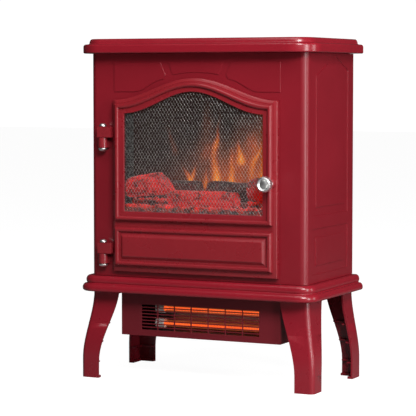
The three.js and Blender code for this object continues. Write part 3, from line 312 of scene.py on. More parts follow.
def grown(name, inputs, build, base=None):
    """A geometry tree with named sizes, run on a base mesh and settled into a plain mesh."""
    tree = bpy.data.node_groups.new(name, "GeometryNodeTree")
    tree.interface.new_socket("Geometry", in_out="INPUT", socket_type="NodeSocketGeometry")
    kinds = {float: "NodeSocketFloat", int: "NodeSocketInt"}
    for label, value in inputs.items():
        kind = kinds.get(type(value), "NodeSocketMaterial")
        tree.interface.new_socket(label, in_out="INPUT", socket_type=kind)
    tree.interface.new_socket("Geometry", in_out="OUTPUT", socket_type="NodeSocketGeometry")
    given = tree.nodes.new("NodeGroupInput").outputs
    made = tree.nodes.new("NodeGroupOutput")
    whole = wire_up(tree, "GeometryNodeRealizeInstances", {0: build(tree, given)})
    coated = wire_up(
        tree,
        "GeometryNodeSetMaterial",
        {"Geometry": whole.outputs[0], "Material": given["Material"]},
    )
    tree.links.new(coated.outputs[0], made.inputs[0])
    piece = bpy.data.objects.new(name, base or bpy.data.meshes.new(name))
    bpy.context.scene.collection.objects.link(piece)
    modifier = piece.modifiers.new(name, "NODES")
    modifier.node_group = tree
    for item in tree.interface.items_tree:
        if item.item_type == "SOCKET" and item.in_out == "INPUT" and item.name in inputs:
            modifier[item.identifier] = inputs[item.name]
    settle(piece)
    return piece


def arithmetic(tree, operation, a, b=0.0, c=0.0):
    terms = {0: a, 1: b, 2: c} if operation == "MULTIPLY_ADD" else {0: a, 1: b}
    sums = wire_up(tree, "ShaderNodeMath", terms, operation=operation)
    return sums.outputs[0]


def triple(tree, x, y, z):
    return wire_up(tree, "ShaderNodeCombineXYZ", {0: x, 1: y, 2: z}).outputs[0]


def metal(name, shade, low_roughness, high_roughness, stretch=(1, 1, 1), grain=800, strength=0.1):
    material, tree, surface = shader(name)
    tint = ramp(tree, pattern(tree, 90, 3), (0.3, tuple(0.85 * c for c in shade)), (0.7, shade))
    tree.links.new(tint, surface.inputs["Base Color"])
    surface.inputs["Metallic"].default_value = 1
    tree.links.new(
        spread(tree, pattern(tree, 220, 4, stretch), low_roughness, high_roughness),
        surface.inputs["Roughness"],
    )
    relief(tree, surface, pattern(tree, grain, 2, stretch), strength, 0.0002)
    return material


def pan_screw(tree, given):
    head = wire_up(
        tree,
        "GeometryNodeMeshCone",
        {
            "Vertices": 28,
            "Side Segments": 2,
            "Radius Top": arithmetic(tree, "MULTIPLY", given["Head radius"], 0.7),
            "Radius Bottom": given["Head radius"],
            "Depth": given["Head height"],
        },
    ).outputs["Mesh"]
    bars = []
    for long_side, short_side in ((1.15, 0.28), (0.28, 1.15)):
        size = triple(
            tree,
            arithmetic(tree, "MULTIPLY", given["Head radius"], long_side),
            arithmetic(tree, "MULTIPLY", given["Head radius"], short_side),
            given["Head height"],
        )
        bar = wire_up(tree, "GeometryNodeMeshCube", {"Size": size}).outputs["Mesh"]
        raised = wire_up(
            tree,
            "GeometryNodeTransform",
            {0: bar, "Translation": triple(tree, 0.0, 0.0, given["Head height"])},
        )
        bars.append(raised.outputs[0])
    recess = wire_up(tree, "GeometryNodeMeshBoolean", operation="DIFFERENCE", solver="EXACT")
    tree.links.new(head, recess.inputs["Mesh 1"])
    for bar in bars:
        tree.links.new(bar, recess.inputs["Mesh 2"])
    shank = wire_up(
        tree,
        "GeometryNodeMeshCylinder",
        {"Vertices": 16, "Radius": given["Shank radius"], "Depth": given["Shank length"]},
    ).outputs["Mesh"]
    sunk = wire_up(
        tree,
        "GeometryNodeTransform",
        {
            0: shank,
            "Translation": triple(
                tree, 0.0, 0.0, arithmetic(tree, "MULTIPLY", given["Shank length"], -0.5)
            ),
        },
    ).outputs[0]
    screw = wire_up(tree, "GeometryNodeJoinGeometry")
    tree.links.new(recess.outputs[0], screw.inputs[0])
    tree.links.new(sunk, screw.inputs[0])
    placed = wire_up(
        tree,
        "GeometryNodeInstanceOnPoints",
        {
            "Points": given["Geometry"],
            "Instance": screw.outputs[0],
            "Rotation": (-math.pi / 2, 0.4, 0),
        },
    )
    return placed.outputs[0]


zinc = metal("zinc_plate", (0.62, 0.61, 0.56), 0.3, 0.5)
screw_nodes = [
    f"back_screw_{side}_{level}" for side in ("left", "right") for level in ("lower", "upper")
]
seats = bpy.data.meshes.new("screw_seats")
screw_points = []
for screw_node in screw_nodes:
    low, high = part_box(screw_node)
    screw_points.append(((low.x + high.x) / 2, high.y - 0.0022, (low.z + high.z) / 2))
seats.from_pydata(screw_points, [], [])
back_screws = grown(
    "back_screws",
    {
        "Head radius": 0.0039,
        "Head height": 0.0022,
        "Shank radius": 0.0017,
        "Shank length": 0.0075,
        "Material": zinc,
    },
    pan_screw,
    seats,
)
fasten(back_screws, None, "zinc_steel", "cabinet", *screw_nodes)


# ---------------------------------------------------------------- door
# The door is one red moulding: a bevelled slab with an arched top, a rounded bead round the
# window and another round the raised lower panel. The back has a seat for the mesh and a
# pocket that clears the buttons.

door_low, door_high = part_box("door_frame")
DOOR_HALF = door_high.x
DOOR_FOOT = door_low.z
DOOR_ARCH = 0.036
DOOR_SHOULDER = door_high.z - DOOR_ARCH
DOOR_BACK = door_high.y
DOOR_FACE = DOOR_BACK - 0.010
BEAD = DOOR_FACE - 0.0085  # the front of both beads
BAND = DOOR_FACE - 0.004  # the flat band inside a bead
WINDOW_FOOT = DOOR_FOOT + 0.085


def arched(side, top, foot, y, steps=56):
    reach = DOOR_HALF - side
    ring = [(-reach, y, foot), (reach, y, foot)]
    for i in range(steps + 1):
        x = reach - 2 * reach * i / steps
        lift = DOOR_ARCH * (0.5 + 0.5 * math.cos(math.pi * x / reach))
        ring.append((x, y, DOOR_SHOULDER - top + lift))
    return ring


def oblong(inset, y, low, high, half):
    return [
        (-half + inset, y, low + inset),
        (half - inset, y, low + inset),
        (half - inset, y, high - inset),
        (-half + inset, y, high - inset),
    ]


def skinned(name, rings, endless=False):
    """A closed skin over rings of equal length: capped at both ends, or joined end to start."""
    shape = bmesh.new()
    loops = [[shape.verts.new(point) for point in ring] for ring in rings]
    count = len(rings[0])
    pairs = list(zip(loops, loops[1:]))
    if endless:
        pairs.append((loops[-1], loops[0]))
    for lower, upper in pairs:
        for i in range(count):
            j = (i + 1) % count
            shape.faces.new((lower[i], lower[j], upper[j], upper[i]))
    if not endless:
        shape.faces.new(list(reversed(loops[0])))
        shape.faces.new(loops[-1])
    bmesh.ops.recalc_face_normals(shape, faces=shape.faces)
    mesh = bpy.data.meshes.new(name)
    shape.to_mesh(mesh)
    shape.free()
    piece = bpy.data.objects.new(name, mesh)
    bpy.context.scene.collection.objects.link(piece)
    return piece


def carve(piece, tool, operation):
    """Joins a tool to a piece or cuts it away, then throws the tool away."""
    step = piece.modifiers.new(operation.lower(), "BOOLEAN")
    step.operation = operation
    step.object = tool
    step.solver = "EXACT"
    settle(piece)
    bpy.data.objects.remove(tool)


def bead(inset_from, inset_to):
    """Half-round profile from the door's face over the crest and down to the band."""
    profile = []
    middle = (inset_from + inset_to) / 2
    for i in range(13):
        angle = math.pi * i / 12
        foot = DOOR_FACE if angle < math.pi / 2 else BAND
        inset = middle - (inset_to - inset_from) / 2 * math.cos(angle)
        profile.append((inset, foot + (BEAD - foot) * math.sin(angle) ** 0.8))
    return profile


slab_steps = [(0, DOOR_BACK), (0, DOOR_FACE + 0.0029), (0.0003, DOOR_FACE + 0.0023)]
slab_steps += [(0.0012, DOOR_FACE + 0.0017), (0.0046, DOOR_FACE + 0.0003), (0.0055, DOOR_FACE)]
door = skinned("door_moulding", [arched(i, i, DOOR_FOOT + i, y) for i, y in slab_steps])

window_profile = [(0.0066, DOOR_FACE + 0.003), *bead(0.0062, 0.0143), (0.0150, BAND)]
window_profile += [(0.0219, BAND), (0.0227, BAND + 0.0006), (0.0227, DOOR_FACE + 0.003)]
window_rings = []
for inset, y in window_profile:
    foot_inset = inset if inset < 0.0143 else 0.0143 + (inset - 0.0143) * 0.9
    window_rings.append(arched(inset, inset, WINDOW_FOOT - 0.006 + foot_inset, y))
carve(door, skinned("window_bead", window_rings, endless=True), "UNION")

panel_low = DOOR_FOOT + 0.010
panel_high = panel_low + 0.065
panel_profile = [(0.0005, DOOR_FACE + 0.003), *bead(0.0002, 0.0083), (0.0100, BAND)]
panel_profile += [(0.0112, BAND), (0.0122, BAND - 0.0006), (0.0158, DOOR_FACE - 0.0078)]
panel_profile += [(0.0168, DOOR_FACE - 0.0084), (0.0180, DOOR_FACE - 0.0085)]
panel_rings = [
    oblong(inset, y, panel_low, panel_high, DOOR_HALF - 0.006) for inset, y in panel_profile
]
carve(door, skinned("panel_bead", panel_rings), "UNION")

window_foot = DOOR_FOOT + 0.085 + 0.0158
hole = [arched(0.0227, 0.022, window_foot, y) for y in (DOOR_FACE - 0.02, DOOR_BACK + 0.005)]
carve(door, skinned("window_hole", hole), "DIFFERENCE")
pocket_half = DOOR_HALF - 0.020
pocket = [
    oblong(0.008, y, panel_low, panel_high, pocket_half + 0.008)
    for y in (DOOR_BACK - 0.0055, DOOR_BACK + 0.005)
]
carve(door, skinned("button_pocket", pocket), "DIFFERENCE")
mesh_low, mesh_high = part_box("door_mesh")
seat_inset = 0.0227 - 0.0038
seat = [
    arched(seat_inset, 0.0182, mesh_low.z - 0.0003, y) for y in (mesh_low.y, DOOR_BACK + 0.005)
]
carve(door, skinned("mesh_seat", seat), "DIFFERENCE")


def turned(name, profile, centre, axis, segments=48, flutes=None, ring=False):
    """Turns (radius, distance) pairs about an axis through a centre. Flutes ripple a band."""
    turn = {
        "x": Matrix.Rotation(math.pi / 2, 4, "Y"),
        "front": Matrix.Rotation(math.pi / 2, 4, "X"),
        "z": Matrix.Identity(4),
    }[axis]
    shape = bmesh.new()
    loops = []
    for radius, along in profile:
        if radius < 1e-7:
            loops.append([shape.verts.new((0, 0, along))])
            continue
        loop = []
        for i in range(segments):
            angle = 2 * math.pi * i / segments
            r = radius
            if flutes and flutes[1] <= along <= flutes[2]:
                r -= flutes[3] * (0.5 - 0.5 * math.cos(flutes[0] * angle)) ** 0.7
            loop.append(shape.verts.new((r * math.cos(angle), r * math.sin(angle), along)))
        loops.append(loop)
    pairs = list(zip(loops, loops[1:]))
    if ring:
        pairs.append((loops[-1], loops[0]))
    for lower, upper in pairs:
        for i in range(segments):
            j = (i + 1) % segments
            if len(lower) == 1:
                shape.faces.new((lower[0], upper[j], upper[i]))
            elif len(upper) == 1:
                shape.faces.new((lower[i], lower[j], upper[0]))
            else:
                shape.faces.new((lower[i], lower[j], upper[j], upper[i]))
    if not ring:
        if len(loops[0]) > 1:
            shape.faces.new(list(reversed(loops[0])))
        if len(loops[-1]) > 1:
            shape.faces.new(loops[-1])
    bmesh.ops.recalc_face_normals(shape, faces=shape.faces)
    shape.transform(Matrix.Translation(Vector(centre)) @ turn)
    mesh = bpy.data.meshes.new(name)
    shape.to_mesh(mesh)
    shape.free()
    mesh.shade_smooth()
    mesh.set_sharp_from_angle(angle=math.radians(38))
    piece = bpy.data.objects.new(name, mesh)
    bpy.context.scene.collection.objects.link(piece)
    return piece


knob_low, knob_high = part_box("door_knob")
knob_x = (knob_low.x + knob_high.x) / 2
knob_z = (knob_low.z + knob_high.z) / 2
boss_reach = DOOR_BACK - 0.001 - knob_high.y - 0.0003
boss = turned(
    "knob_boss",
    [(0, 0), (0.008, 0), (0.008, boss_reach - 0.0008), (0.0072, boss_reach), (0, boss_reach)],
    (knob_x, DOOR_BACK - 0.001, knob_z),
    "front",
)
carve(door, boss, "UNION")
bore = turned(
    "screw_bore",
    [(0, 0), (0.0043, 0), (0.0043, 0.005), (0.0023, 0.005), (0.0023, 0.04), (0, 0.04)],
    (knob_x, DOOR_BACK + 0.001, knob_z),
    "front",
)
carve(door, bore, "DIFFERENCE")
catch_low, catch_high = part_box("catch_strike")
catch_box = [
    [
        (catch_low.x - 0.0003, y, catch_low.z - 0.0003),
        (catch_high.x + 0.0003, y, catch_low.z - 0.0003),
        (catch_high.x + 0.0003, y, catch_high.z + 0.0003),
        (catch_low.x - 0.0003, y, catch_high.z + 0.0003),
    ]
    for y in (catch_low.y - 0.0001, DOOR_BACK + 0.005)
]
carve(door, skinned("catch_recess", catch_box), "DIFFERENCE")
shade(door, 32)
door_red = red_enamel(
    "door_enamel", (0.215, 0.0105, 0.0165), (0.24, 0.0125, 0.019), 0.24, 0.32, 0.5
)
fasten(door, door_red, "red_gloss_plastic", "door", "door_frame")


# ---------------------------------------------------------------- window mesh
# Woven steel wire in tall diamonds fills the arched window, trapped between the door and a
# retaining frame. Each wire passes over and under the ones that cross it.


def woven_wire(tree, given):
    """Two families of slanted wires over the window, trimmed to its outline."""
    families = []
    for lean in (1.0, -1.0):
        run = arithmetic(tree, "DIVIDE", given["Height"], given["Slope"])
        width = arithmetic(tree, "MULTIPLY_ADD", given["Half width"], 2.0, run)
        count = arithmetic(tree, "DIVIDE", width, given["Pitch"])
        start_x = arithmetic(tree, "MULTIPLY", given["Half width"], -1.0)
        if lean > 0:
            start_x = arithmetic(tree, "SUBTRACT", start_x, run)
        first = triple(tree, start_x, given["Depth"], given["Foot"])
        row = wire_up(
            tree,
            "GeometryNodeMeshLine",
            {
                "Count": count,
                "Start Location": first,
                "Offset": triple(tree, given["Pitch"], 0.0, 0.0),
            },
            mode="OFFSET",
        )
        end = triple(tree, arithmetic(tree, "MULTIPLY", run, lean), 0.0, given["Height"])
        strand = wire_up(tree, "GeometryNodeCurvePrimitiveLine", {"End": end})
        strands = wire_up(
            tree,
            "GeometryNodeInstanceOnPoints",
            {"Points": row.outputs[0], "Instance": strand.outputs[0]},
        )
        loose = wire_up(tree, "GeometryNodeRealizeInstances", {0: strands.outputs[0]})
        step = arithmetic(tree, "MULTIPLY", given["Pitch"], 0.5)
        fine = wire_up(
            tree,
            "GeometryNodeResampleCurve",
            {"Curve": loose.outputs[0], "Length": step},
            mode="LENGTH",
        )
        place = wire_up(tree, "GeometryNodeInputPosition")
        apart = wire_up(tree, "ShaderNodeSeparateXYZ", {0: place.outputs[0]})
        x, z = apart.outputs[0], apart.outputs[2]
        turns = arithmetic(tree, "DIVIDE", x, given["Pitch"])
        wave = arithmetic(tree, "COSINE", arithmetic(tree, "MULTIPLY", turns, 2 * math.pi))
        lift = arithmetic(
            tree, "MULTIPLY", wave, arithmetic(tree, "MULTIPLY", given["Weave"], lean)
        )
        woven = wire_up(
            tree,
            "GeometryNodeSetPosition",
            {"Geometry": fine.outputs[0], "Offset": triple(tree, 0.0, lift, 0.0)},
        )
        share = arithmetic(tree, "DIVIDE", x, given["Half width"])
        swell = arithmetic(tree, "COSINE", arithmetic(tree, "MULTIPLY", share, math.pi))
        rise = arithmetic(tree, "MULTIPLY", given["Rise"], 0.5)
        ceiling = arithmetic(
            tree,
            "ADD",
            arithmetic(tree, "ADD", given["Shoulder"], rise),
            arithmetic(tree, "MULTIPLY", swell, rise),
        )
        above = arithmetic(tree, "GREATER_THAN", z, ceiling)
        off_centre = arithmetic(tree, "ABSOLUTE", x)
        beside = arithmetic(tree, "GREATER_THAN", off_centre, given["Half width"])
        outside = arithmetic(tree, "MAXIMUM", above, beside)
        trimmed = wire_up(
            tree,
            "GeometryNodeDeleteGeometry",
            {"Geometry": woven.outputs[0], "Selection": outside},
            domain="POINT",
        )
        thread = wire_up(
            tree,
            "GeometryNodeCurvePrimitiveCircle",
            {"Resolution": 6, "Radius": given["Wire radius"]},
        )
        solid = wire_up(
            tree,
            "GeometryNodeCurveToMesh",
            {
                "Curve": trimmed.outputs[0],
                "Profile Curve": thread.outputs[0],
                "Fill Caps": True,
            },
        )
        families.append(solid.outputs[0])
    both = wire_up(tree, "GeometryNodeJoinGeometry")
    for family in families:
        tree.links.new(family, both.inputs[0])
    return both.outputs[0]


wire_steel = metal("wire_steel", (0.23, 0.225, 0.22), 0.23, 0.32, grain=1500, strength=0.1)
window_mesh = grown(
    "window_mesh",
    {
        "Pitch": 0.0056,
        "Slope": 1.55,
        "Wire radius": 0.00034,
        "Weave": 0.00033,
        "Depth": (mesh_low.y + mesh_high.y) / 2,
        "Foot": mesh_low.z + 0.0006,
        "Height": mesh_high.z - mesh_low.z - 0.0012,
        "Half width": mesh_high.x - 0.0006,
        "Shoulder": mesh_high.z - DOOR_ARCH - 0.0006,
        "Rise": DOOR_ARCH,
        "Material": wire_steel,
    },
    woven_wire,
)
window_mesh.data.shade_smooth()
fasten(window_mesh, None, "mesh_wire", "door", "door_mesh")
retainer = finished_copy("mesh_frame", "mesh_retainer", edge=0.0003)
fasten(retainer, black_powder, "black_steel", "door", "mesh_retainer")


# ---------------------------------------------------------------- door knob
# A small plated knob with a fluted rim and a domed centre is held from behind by a screw
# through the door.

chrome = metal("bright_chrome", (0.8, 0.8, 0.79), 0.3, 0.38, grain=500, strength=0.03)
knob_profile = [(0, 0), (0.0066, 0), (0.0062, 0.0010), (0.0046, 0.0024), (0.0044, 0.0090)]
knob_profile += [(0.0060, 0.0108), (0.0100, 0.0122), (0.0121, 0.0136), (0.0129, 0.0152)]
knob_profile += [(0.0130, 0.0170), (0.0130, 0.0186), (0.0126, 0.0204), (0.0114, 0.0218)]
knob_profile += [(0.0098, 0.0225), (0.0088, 0.0220), (0.0080, 0.0208), (0.0072, 0.0206)]
knob_profile += [(0.0066, 0.0214), (0.0058, 0.0226), (0.0040, 0.0233), (0.0018, 0.0236)]
knob_profile += [(0, 0.0237)]
knob = turned(
    "fluted_knob",
    knob_profile,
    (knob_x, knob_high.y, knob_z),
    "front",
    segments=144,
    flutes=(18, 0.0150, 0.0214, 0.0013),
)
knob_bore = turned(
    "knob_bore",
    [(0, 0), (0.0023, 0), (0.0023, 0.012), (0, 0.012)],
    (knob_x, knob_high.y + 0.001, knob_z),
    "front",
    segments=24,
)
carve(knob, knob_bore, "DIFFERENCE")
fasten(knob, chrome, "chrome", "door", "door_knob")
knob_screw = finished_copy("knob_screw_zinc", "knob_screw", edge=0.0002)
fasten(knob_screw, zinc, "zinc_steel", "door", "knob_screw")


# ---------------------------------------------------------------- hinges
# Two lift-off hinges: a leaf with a barrel is part of the door and sits on a barrel fixed to
# the cabinet. Both are painted with the stove, and a bright pin with domed ends joins them.

hinge_red = red_enamel("hinge_enamel", (0.20, 0.012, 0.018), (0.23, 0.014, 0.021), 0.22, 0.3, 0.55)
for level in ("lower", "upper"):
    leaf = finished_copy("hinge_leaf_cast_" + level, "hinge_leaf_" + level, edge=0.0007)
    fasten(leaf, hinge_red, "red_gloss_plastic", "door", "hinge_leaf_" + level)
    barrel = finished_copy("hinge_barrel_" + level, "hinge_knuckle_" + level, edge=0.0007)
    fasten(barrel, hinge_red, "red_gloss_plastic", "cabinet", "hinge_knuckle_" + level)
    pin = finished_copy("hinge_pin_bright_" + level, "hinge_pin_" + level, edge=0.0006)
    fasten(pin, chrome, "chrome", "cabinet", "hinge_pin_" + level)


# ---------------------------------------------------------------- catch
# A magnet in a black holder behind the cabinet's front pulls on a small plated plate let
# into the back of the door.

strike = finished_copy("catch_plate", "catch_strike", edge=0.0002)
fasten(strike, zinc, "zinc_steel", "door", "catch_strike")
black_moulded = black_coat("black_moulded_plastic", (0.016, 0.016, 0.017), 0.5, 1200, 0.35)
magnet = finished_copy("catch_magnet_holder", "catch_magnet", edge=0.0004)
fasten(magnet, black_moulded, "black_plastic", "cabinet", "catch_magnet")


# ---------------------------------------------------------------- firebox
# A black steel box stands behind the window, open to the front, with a dark moulded bed that
# is lit red from below and a row of small lamps under it.

# The lining gets a darker black than the other black steel parts: painted shade for the inside of
# the firebox.
firebox_shade_black = black_coat("shaded_firebox_black", (0.006, 0.0045, 0.004), 0.62, 500, 0.3)
liner = finished_copy("firebox_lining", "firebox_liner", edge=0.0002)
fasten(liner, firebox_shade_black, "black_steel", "cabinet", "firebox_liner")


def ember_shader(name, glow, strength, share):
    """Charred resin that glows from within where a slow noise runs above its share."""
    material, tree, surface = shader(name)
    body = pattern(tree, 55, 4)
    cracks = pattern(tree, 240, 5)
    mixed = arithmetic(tree, "MULTIPLY_ADD", cracks, 0.45, arithmetic(tree, "MULTIPLY", body, 0.55))
    tint = ramp(tree, mixed, (0.35, (0.012, 0.006, 0.005)), (0.65, (0.09, 0.012, 0.008)))
    tree.links.new(tint, surface.inputs["Base Color"])
    surface.inputs["Roughness"].default_value = 0.75
    fire = ramp(
        tree,
        mixed,
        (share - 0.06, (0, 0, 0)),
        (share + 0.04, tuple(0.45 * c for c in glow)),
        (share + 0.16, glow),
    )
    tree.links.new(fire, surface.inputs["Emission Color"])
    surface.inputs["Emission Strength"].default_value = strength
    relief(tree, surface, cracks, 0.6, 0.0015)
    return material


ember_glow = ember_shader("ember_bed_glow", (1.0, 0.035, 0.012), 0.5, 0.52)
bed = finished_copy("ember_tray", "ember_bed", edge=0.0006)
fasten(bed, ember_glow, "ember_resin", "cabinet", "ember_bed")


def scattered_coals(tree, given):
    """Lumps strewn over the bed, each turned, sized and flattened at random."""
    dots = wire_up(
        tree,
        "GeometryNodeDistributePointsOnFaces",
        {"Mesh": given["Geometry"], "Density": given["Density"], "Seed": 11},
    )
    lump = wire_up(
        tree, "GeometryNodeMeshIcoSphere", {"Radius": given["Lump radius"], "Subdivisions": 2}
    )
    turn = wire_up(
        tree,
        "FunctionNodeRandomValue",
        {0: (0, 0, 0), 1: (0.6, 0.6, 6.28), "Seed": 3},
        data_type="FLOAT_VECTOR",
    )
    size = wire_up(
        tree,
        "FunctionNodeRandomValue",
        {0: (0.6, 0.5, 0.45), 1: (1.35, 1.1, 0.9), "Seed": 5},
        data_type="FLOAT_VECTOR",
    )
    strewn = wire_up(
        tree,
        "GeometryNodeInstanceOnPoints",
        {
            "Points": dots.outputs["Points"],
            "Instance": lump.outputs["Mesh"],
            "Rotation": turn.outputs[0],
            "Scale": size.outputs[0],
        },
    )
    solid = wire_up(tree, "GeometryNodeRealizeInstances", {0: strewn.outputs[0]})
    crags = wire_up(tree, "ShaderNodeTexNoise", {"Scale": 190.0, "Detail": 3.0})
    wobble = wire_up(
        tree,
        "ShaderNodeVectorMath",
        {0: crags.outputs["Color"], 1: (0.5, 0.5, 0.5)},
        operation="SUBTRACT",
    )
    shift = wire_up(
        tree, "ShaderNodeVectorMath", {0: wobble.outputs[0], "Scale": 0.006}, operation="SCALE"
    )
    rugged = wire_up(
        tree, "GeometryNodeSetPosition", {"Geometry": solid.outputs[0], "Offset": shift.outputs[0]}
    )
    return rugged.outputs[0]


bed_low, bed_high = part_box("ember_bed")
strips = bpy.data.meshes.new("coal_strips")
edge, step_y = 0.008, bed_low.y + 0.034
strips.from_pydata(
    [
        (bed_low.x + edge, bed_low.y + edge, bed_high.z - 0.0095),
        (bed_high.x - edge, bed_low.y + edge, bed_high.z - 0.0095),
        (bed_high.x - edge, step_y, bed_high.z - 0.0095),
        (bed_low.x + edge, step_y, bed_high.z - 0.0095),
        (bed_low.x + edge, step_y, bed_high.z),
        (bed_high.x - edge, step_y, bed_high.z),
        (bed_high.x - edge, bed_high.y - edge, bed_high.z),
        (bed_low.x + edge, bed_high.y - edge, bed_high.z),
    ],
    [],
    [(0, 1, 2, 3), (4, 5, 6, 7)],
)
coal_glow = ember_shader("coal_glow", (1.0, 0.02, 0.012), 0.85, 0.45)
coals = grown(
    "glowing_coals",
    {"Density": 11000.0, "Lump radius": 0.0052, "Material": coal_glow},
    scattered_coals,
    strips,
)
coals.data.shade_smooth()
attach(coals, "cabinet")
green_board, board_tree, board_surface = shader("lacquered_board")
lacquer = ramp(
    board_tree,
    pattern(board_tree, 120, 3),
    (0.35, (0.01, 0.05, 0.02)),
    (0.65, (0.02, 0.09, 0.035)),
)
board_tree.links.new(lacquer, board_surface.inputs["Base Color"])
board_surface.inputs["Roughness"].default_value = 0.35
relief(board_tree, board_surface, pattern(board_tree, 700, 2), 0.2, 0.0003)
lamps = finished_copy("lamp_board", "led_board", edge=0.0002)
fasten(lamps, green_board, "circuit_board", "cabinet", "led_board")


# ---------------------------------------------------------------- logs
# Five moulded resin logs lie on the bed. They are hollow and translucent, so the lamps below make
# the front ones glow red through their bark. All five share one charred bark, and that glow is
# painted on as emission: strong on the front logs, faint on the rear ones.


def bark_log(node, name, seed, slant=0.0, tilt=0.0, rough=0.09, rings=44, sides=40):
    low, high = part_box(node)
    radius = (high.z - low.z - tilt) / 2 * 0.97
    middle_y = (low.y + high.y) / 2
    loops = []
    for i in range(rings + 1):
        t = i / rings
        middle_z = (low.z + high.z) / 2 + tilt * (t - 0.5)
        ease = min(1.0, 8 * t, 8 * (1 - t)) ** 0.5
        loop = []
        for j in range(sides):
            angle = 2 * math.pi * j / sides
            along = t * (high.x - low.x) * 22 + seed * 7.3
            where = Vector((along, math.cos(angle) * 1.3, math.sin(angle) * 1.3))
            bump = noise.fractal(where, 1.0, 2.0, 4) * rough
            ridge = abs(noise.noise(Vector((where.x * 0.5, where.y * 4.2, where.z * 4.2)))) * 0.13
            r = radius * (0.9 + 0.1 * ease) * (0.99 + bump - ridge)
            y = middle_y + r * math.cos(angle)
            z = middle_z + r * math.sin(angle)
            x = low.x + (high.x - low.x) * t
            x += slant * (high.z - z) * t
            loop.append((x, y, z))
        loops.append(loop)

    def shrunk(loop, share, dig):
        centre = sum((Vector(p) for p in loop), Vector()) / len(loop)
        return [tuple(centre + (Vector(p) - centre) * share + Vector((dig, 0, 0))) for p in loop]

    first = [shrunk(loops[0], s, d) for s, d in ((0.12, 0.0016), (0.5, 0.0014), (0.86, 0.0012))]
    last = [shrunk(loops[-1], s, -d) for s, d in ((0.86, 0.0012), (0.5, 0.0014), (0.12, 0.0016))]
    piece = skinned(name, first + loops + last)
    piece.data.shade_smooth()
    piece.data.set_sharp_from_angle(angle=math.radians(50))
    return piece


bright_bark = ember_shader("bright_glowing_bark", (1.0, 0.003, 0.002), 0.6, 0.42)
warm_bark = ember_shader("warm_glowing_bark", (0.9, 0.003, 0.002), 0.42, 0.44)
# The rear logs have the same charred bark as the front ones, with only a faint painted glow.
faintly_glowing_bark = ember_shader("faintly_glowing_bark", (0.6, 0.01, 0.004), 0.16, 0.55)
left_log = bark_log("log_left", "bark_log_left", 1, slant=0.85, tilt=0.011)
fasten(left_log, bright_bark, "log_resin", "cabinet", "log_left")
front_log = bark_log("log_front", "bark_log_front", 2)
fasten(front_log, bright_bark, "log_resin", "cabinet", "log_front")
right_log = bark_log("log_right", "bark_log_right", 5)
fasten(right_log, warm_bark, "log_resin", "cabinet", "log_right")
for side, seed in (("left", 3), ("right", 4)):
    rear_log = bark_log(f"log_rear_{side}", f"bark_log_rear_{side}", seed)
    fasten(rear_log, faintly_glowing_bark, "log_resin", "cabinet", f"log_rear_{side}")


# ---------------------------------------------------------------- flame screen
# A smoked sheet behind the logs catches the light thrown by a turning spindle, which shows as
# soft orange tongues that lean and fade towards the top of the window.

screen_low, screen_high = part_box("flame_screen")
columns, rows = 180, 130
# Each tongue: middle X, foot Z, height, half width, lean of the tip, and brightness, in metres
tongues = [
    (-0.004, 0.322, 0.115, 0.008, 0.001, 0.58),
    (0.047, 0.328, 0.100, 0.034, 0.000, 0.34),
    (0.044, 0.366, 0.034, 0.008, 0.001, 0.60),
    (0.026, 0.330, 0.062, 0.007, 0.004, 0.34),
    (0.064, 0.325, 0.075, 0.008, 0.008, 0.36),
    (0.084, 0.340, 0.080, 0.009, 0.003, 0.40),
    (-0.052, 0.318, 0.042, 0.006, 0.012, 0.55),
    (-0.054, 0.318, 0.042, 0.006, -0.014, 0.50),
    (-0.022, 0.322, 0.030, 0.007, 0.003, 0.42),
    (-0.080, 0.382, 0.040, 0.005, -0.020, 0.26),
    (-0.020, 0.380, 0.080, 0.014, -0.004, 0.14),
    (-0.010, 0.325, 0.090, 0.075, 0.010, 0.26),
    (0.080, 0.330, 0.130, 0.060, 0.000, 0.22),
]


def flame_light(x, z):
    drift = noise.fractal(Vector((x * 26, z * 14, 3.7)), 1.0, 2.0, 3)
    light = 0.0
    for middle, foot, height, width, lean, power in tongues:
        t = (z - foot) / height
        if t < -0.25 or t > 1.15:
            continue
        line = middle + lean * t * t + 0.012 * drift * (0.3 + t)
        body = width * max(0.12, (1 - 0.75 * max(t, 0)))
        across = math.exp(-(((x - line) / body) ** 2))
        along = math.exp(-max(0.0, t - 0.55) ** 2 * 9) * math.exp(-min(0.0, t) ** 2 * 30)
        light += power * across * along
    return min(1.0, light * (0.85 + 0.5 * drift))


screen_shape = bmesh.new()
amount = screen_shape.verts.layers.float.new("fire_light")
grid = []
for j in range(rows + 1):
    line = []
    for i in range(columns + 1):
        x = screen_low.x + (screen_high.x - screen_low.x) * i / columns
        z = screen_low.z + (screen_high.z - screen_low.z) * j / rows
        vert = screen_shape.verts.new((x, screen_low.y, z))
        vert[amount] = flame_light(x, z)
        line.append(vert)
    grid.append(line)
for j in range(rows):
    for i in range(columns):
        screen_shape.faces.new((grid[j][i], grid[j][i + 1], grid[j + 1][i + 1], grid[j + 1][i]))
back_corners = [
    screen_shape.verts.new((x, screen_high.y, z))
    for x, z in (
        (screen_low.x, screen_low.z),
        (screen_high.x, screen_low.z),
        (screen_high.x, screen_high.z),
        (screen_low.x, screen_high.z),
    )
]
screen_shape.faces.new(list(reversed(back_corners)))
screen_edges = [
    [grid[0][i] for i in range(columns + 1)],
    [grid[j][columns] for j in range(rows + 1)],
    [grid[rows][i] for i in range(columns, -1, -1)],
    [grid[j][0] for j in range(rows, -1, -1)],
]
for k, edge_line in enumerate(screen_edges):
    a, b = back_corners[k], back_corners[(k + 1) % 4]
    screen_shape.faces.new([*reversed(edge_line), a, b])
bmesh.ops.recalc_face_normals(screen_shape, faces=screen_shape.faces)
screen_mesh = bpy.data.meshes.new("flame_picture")
screen_shape.to_mesh(screen_mesh)
screen_shape.free()
flame_sheet = bpy.data.objects.new("flame_picture", screen_mesh)
bpy.context.scene.collection.objects.link(flame_sheet)
smoked, smoked_tree, smoked_surface = shader("lit_smoked_sheet")
flame_amount = wire_up(
    smoked_tree, "ShaderNodeAttribute", attribute_name="fire_light"
).outputs["Fac"]
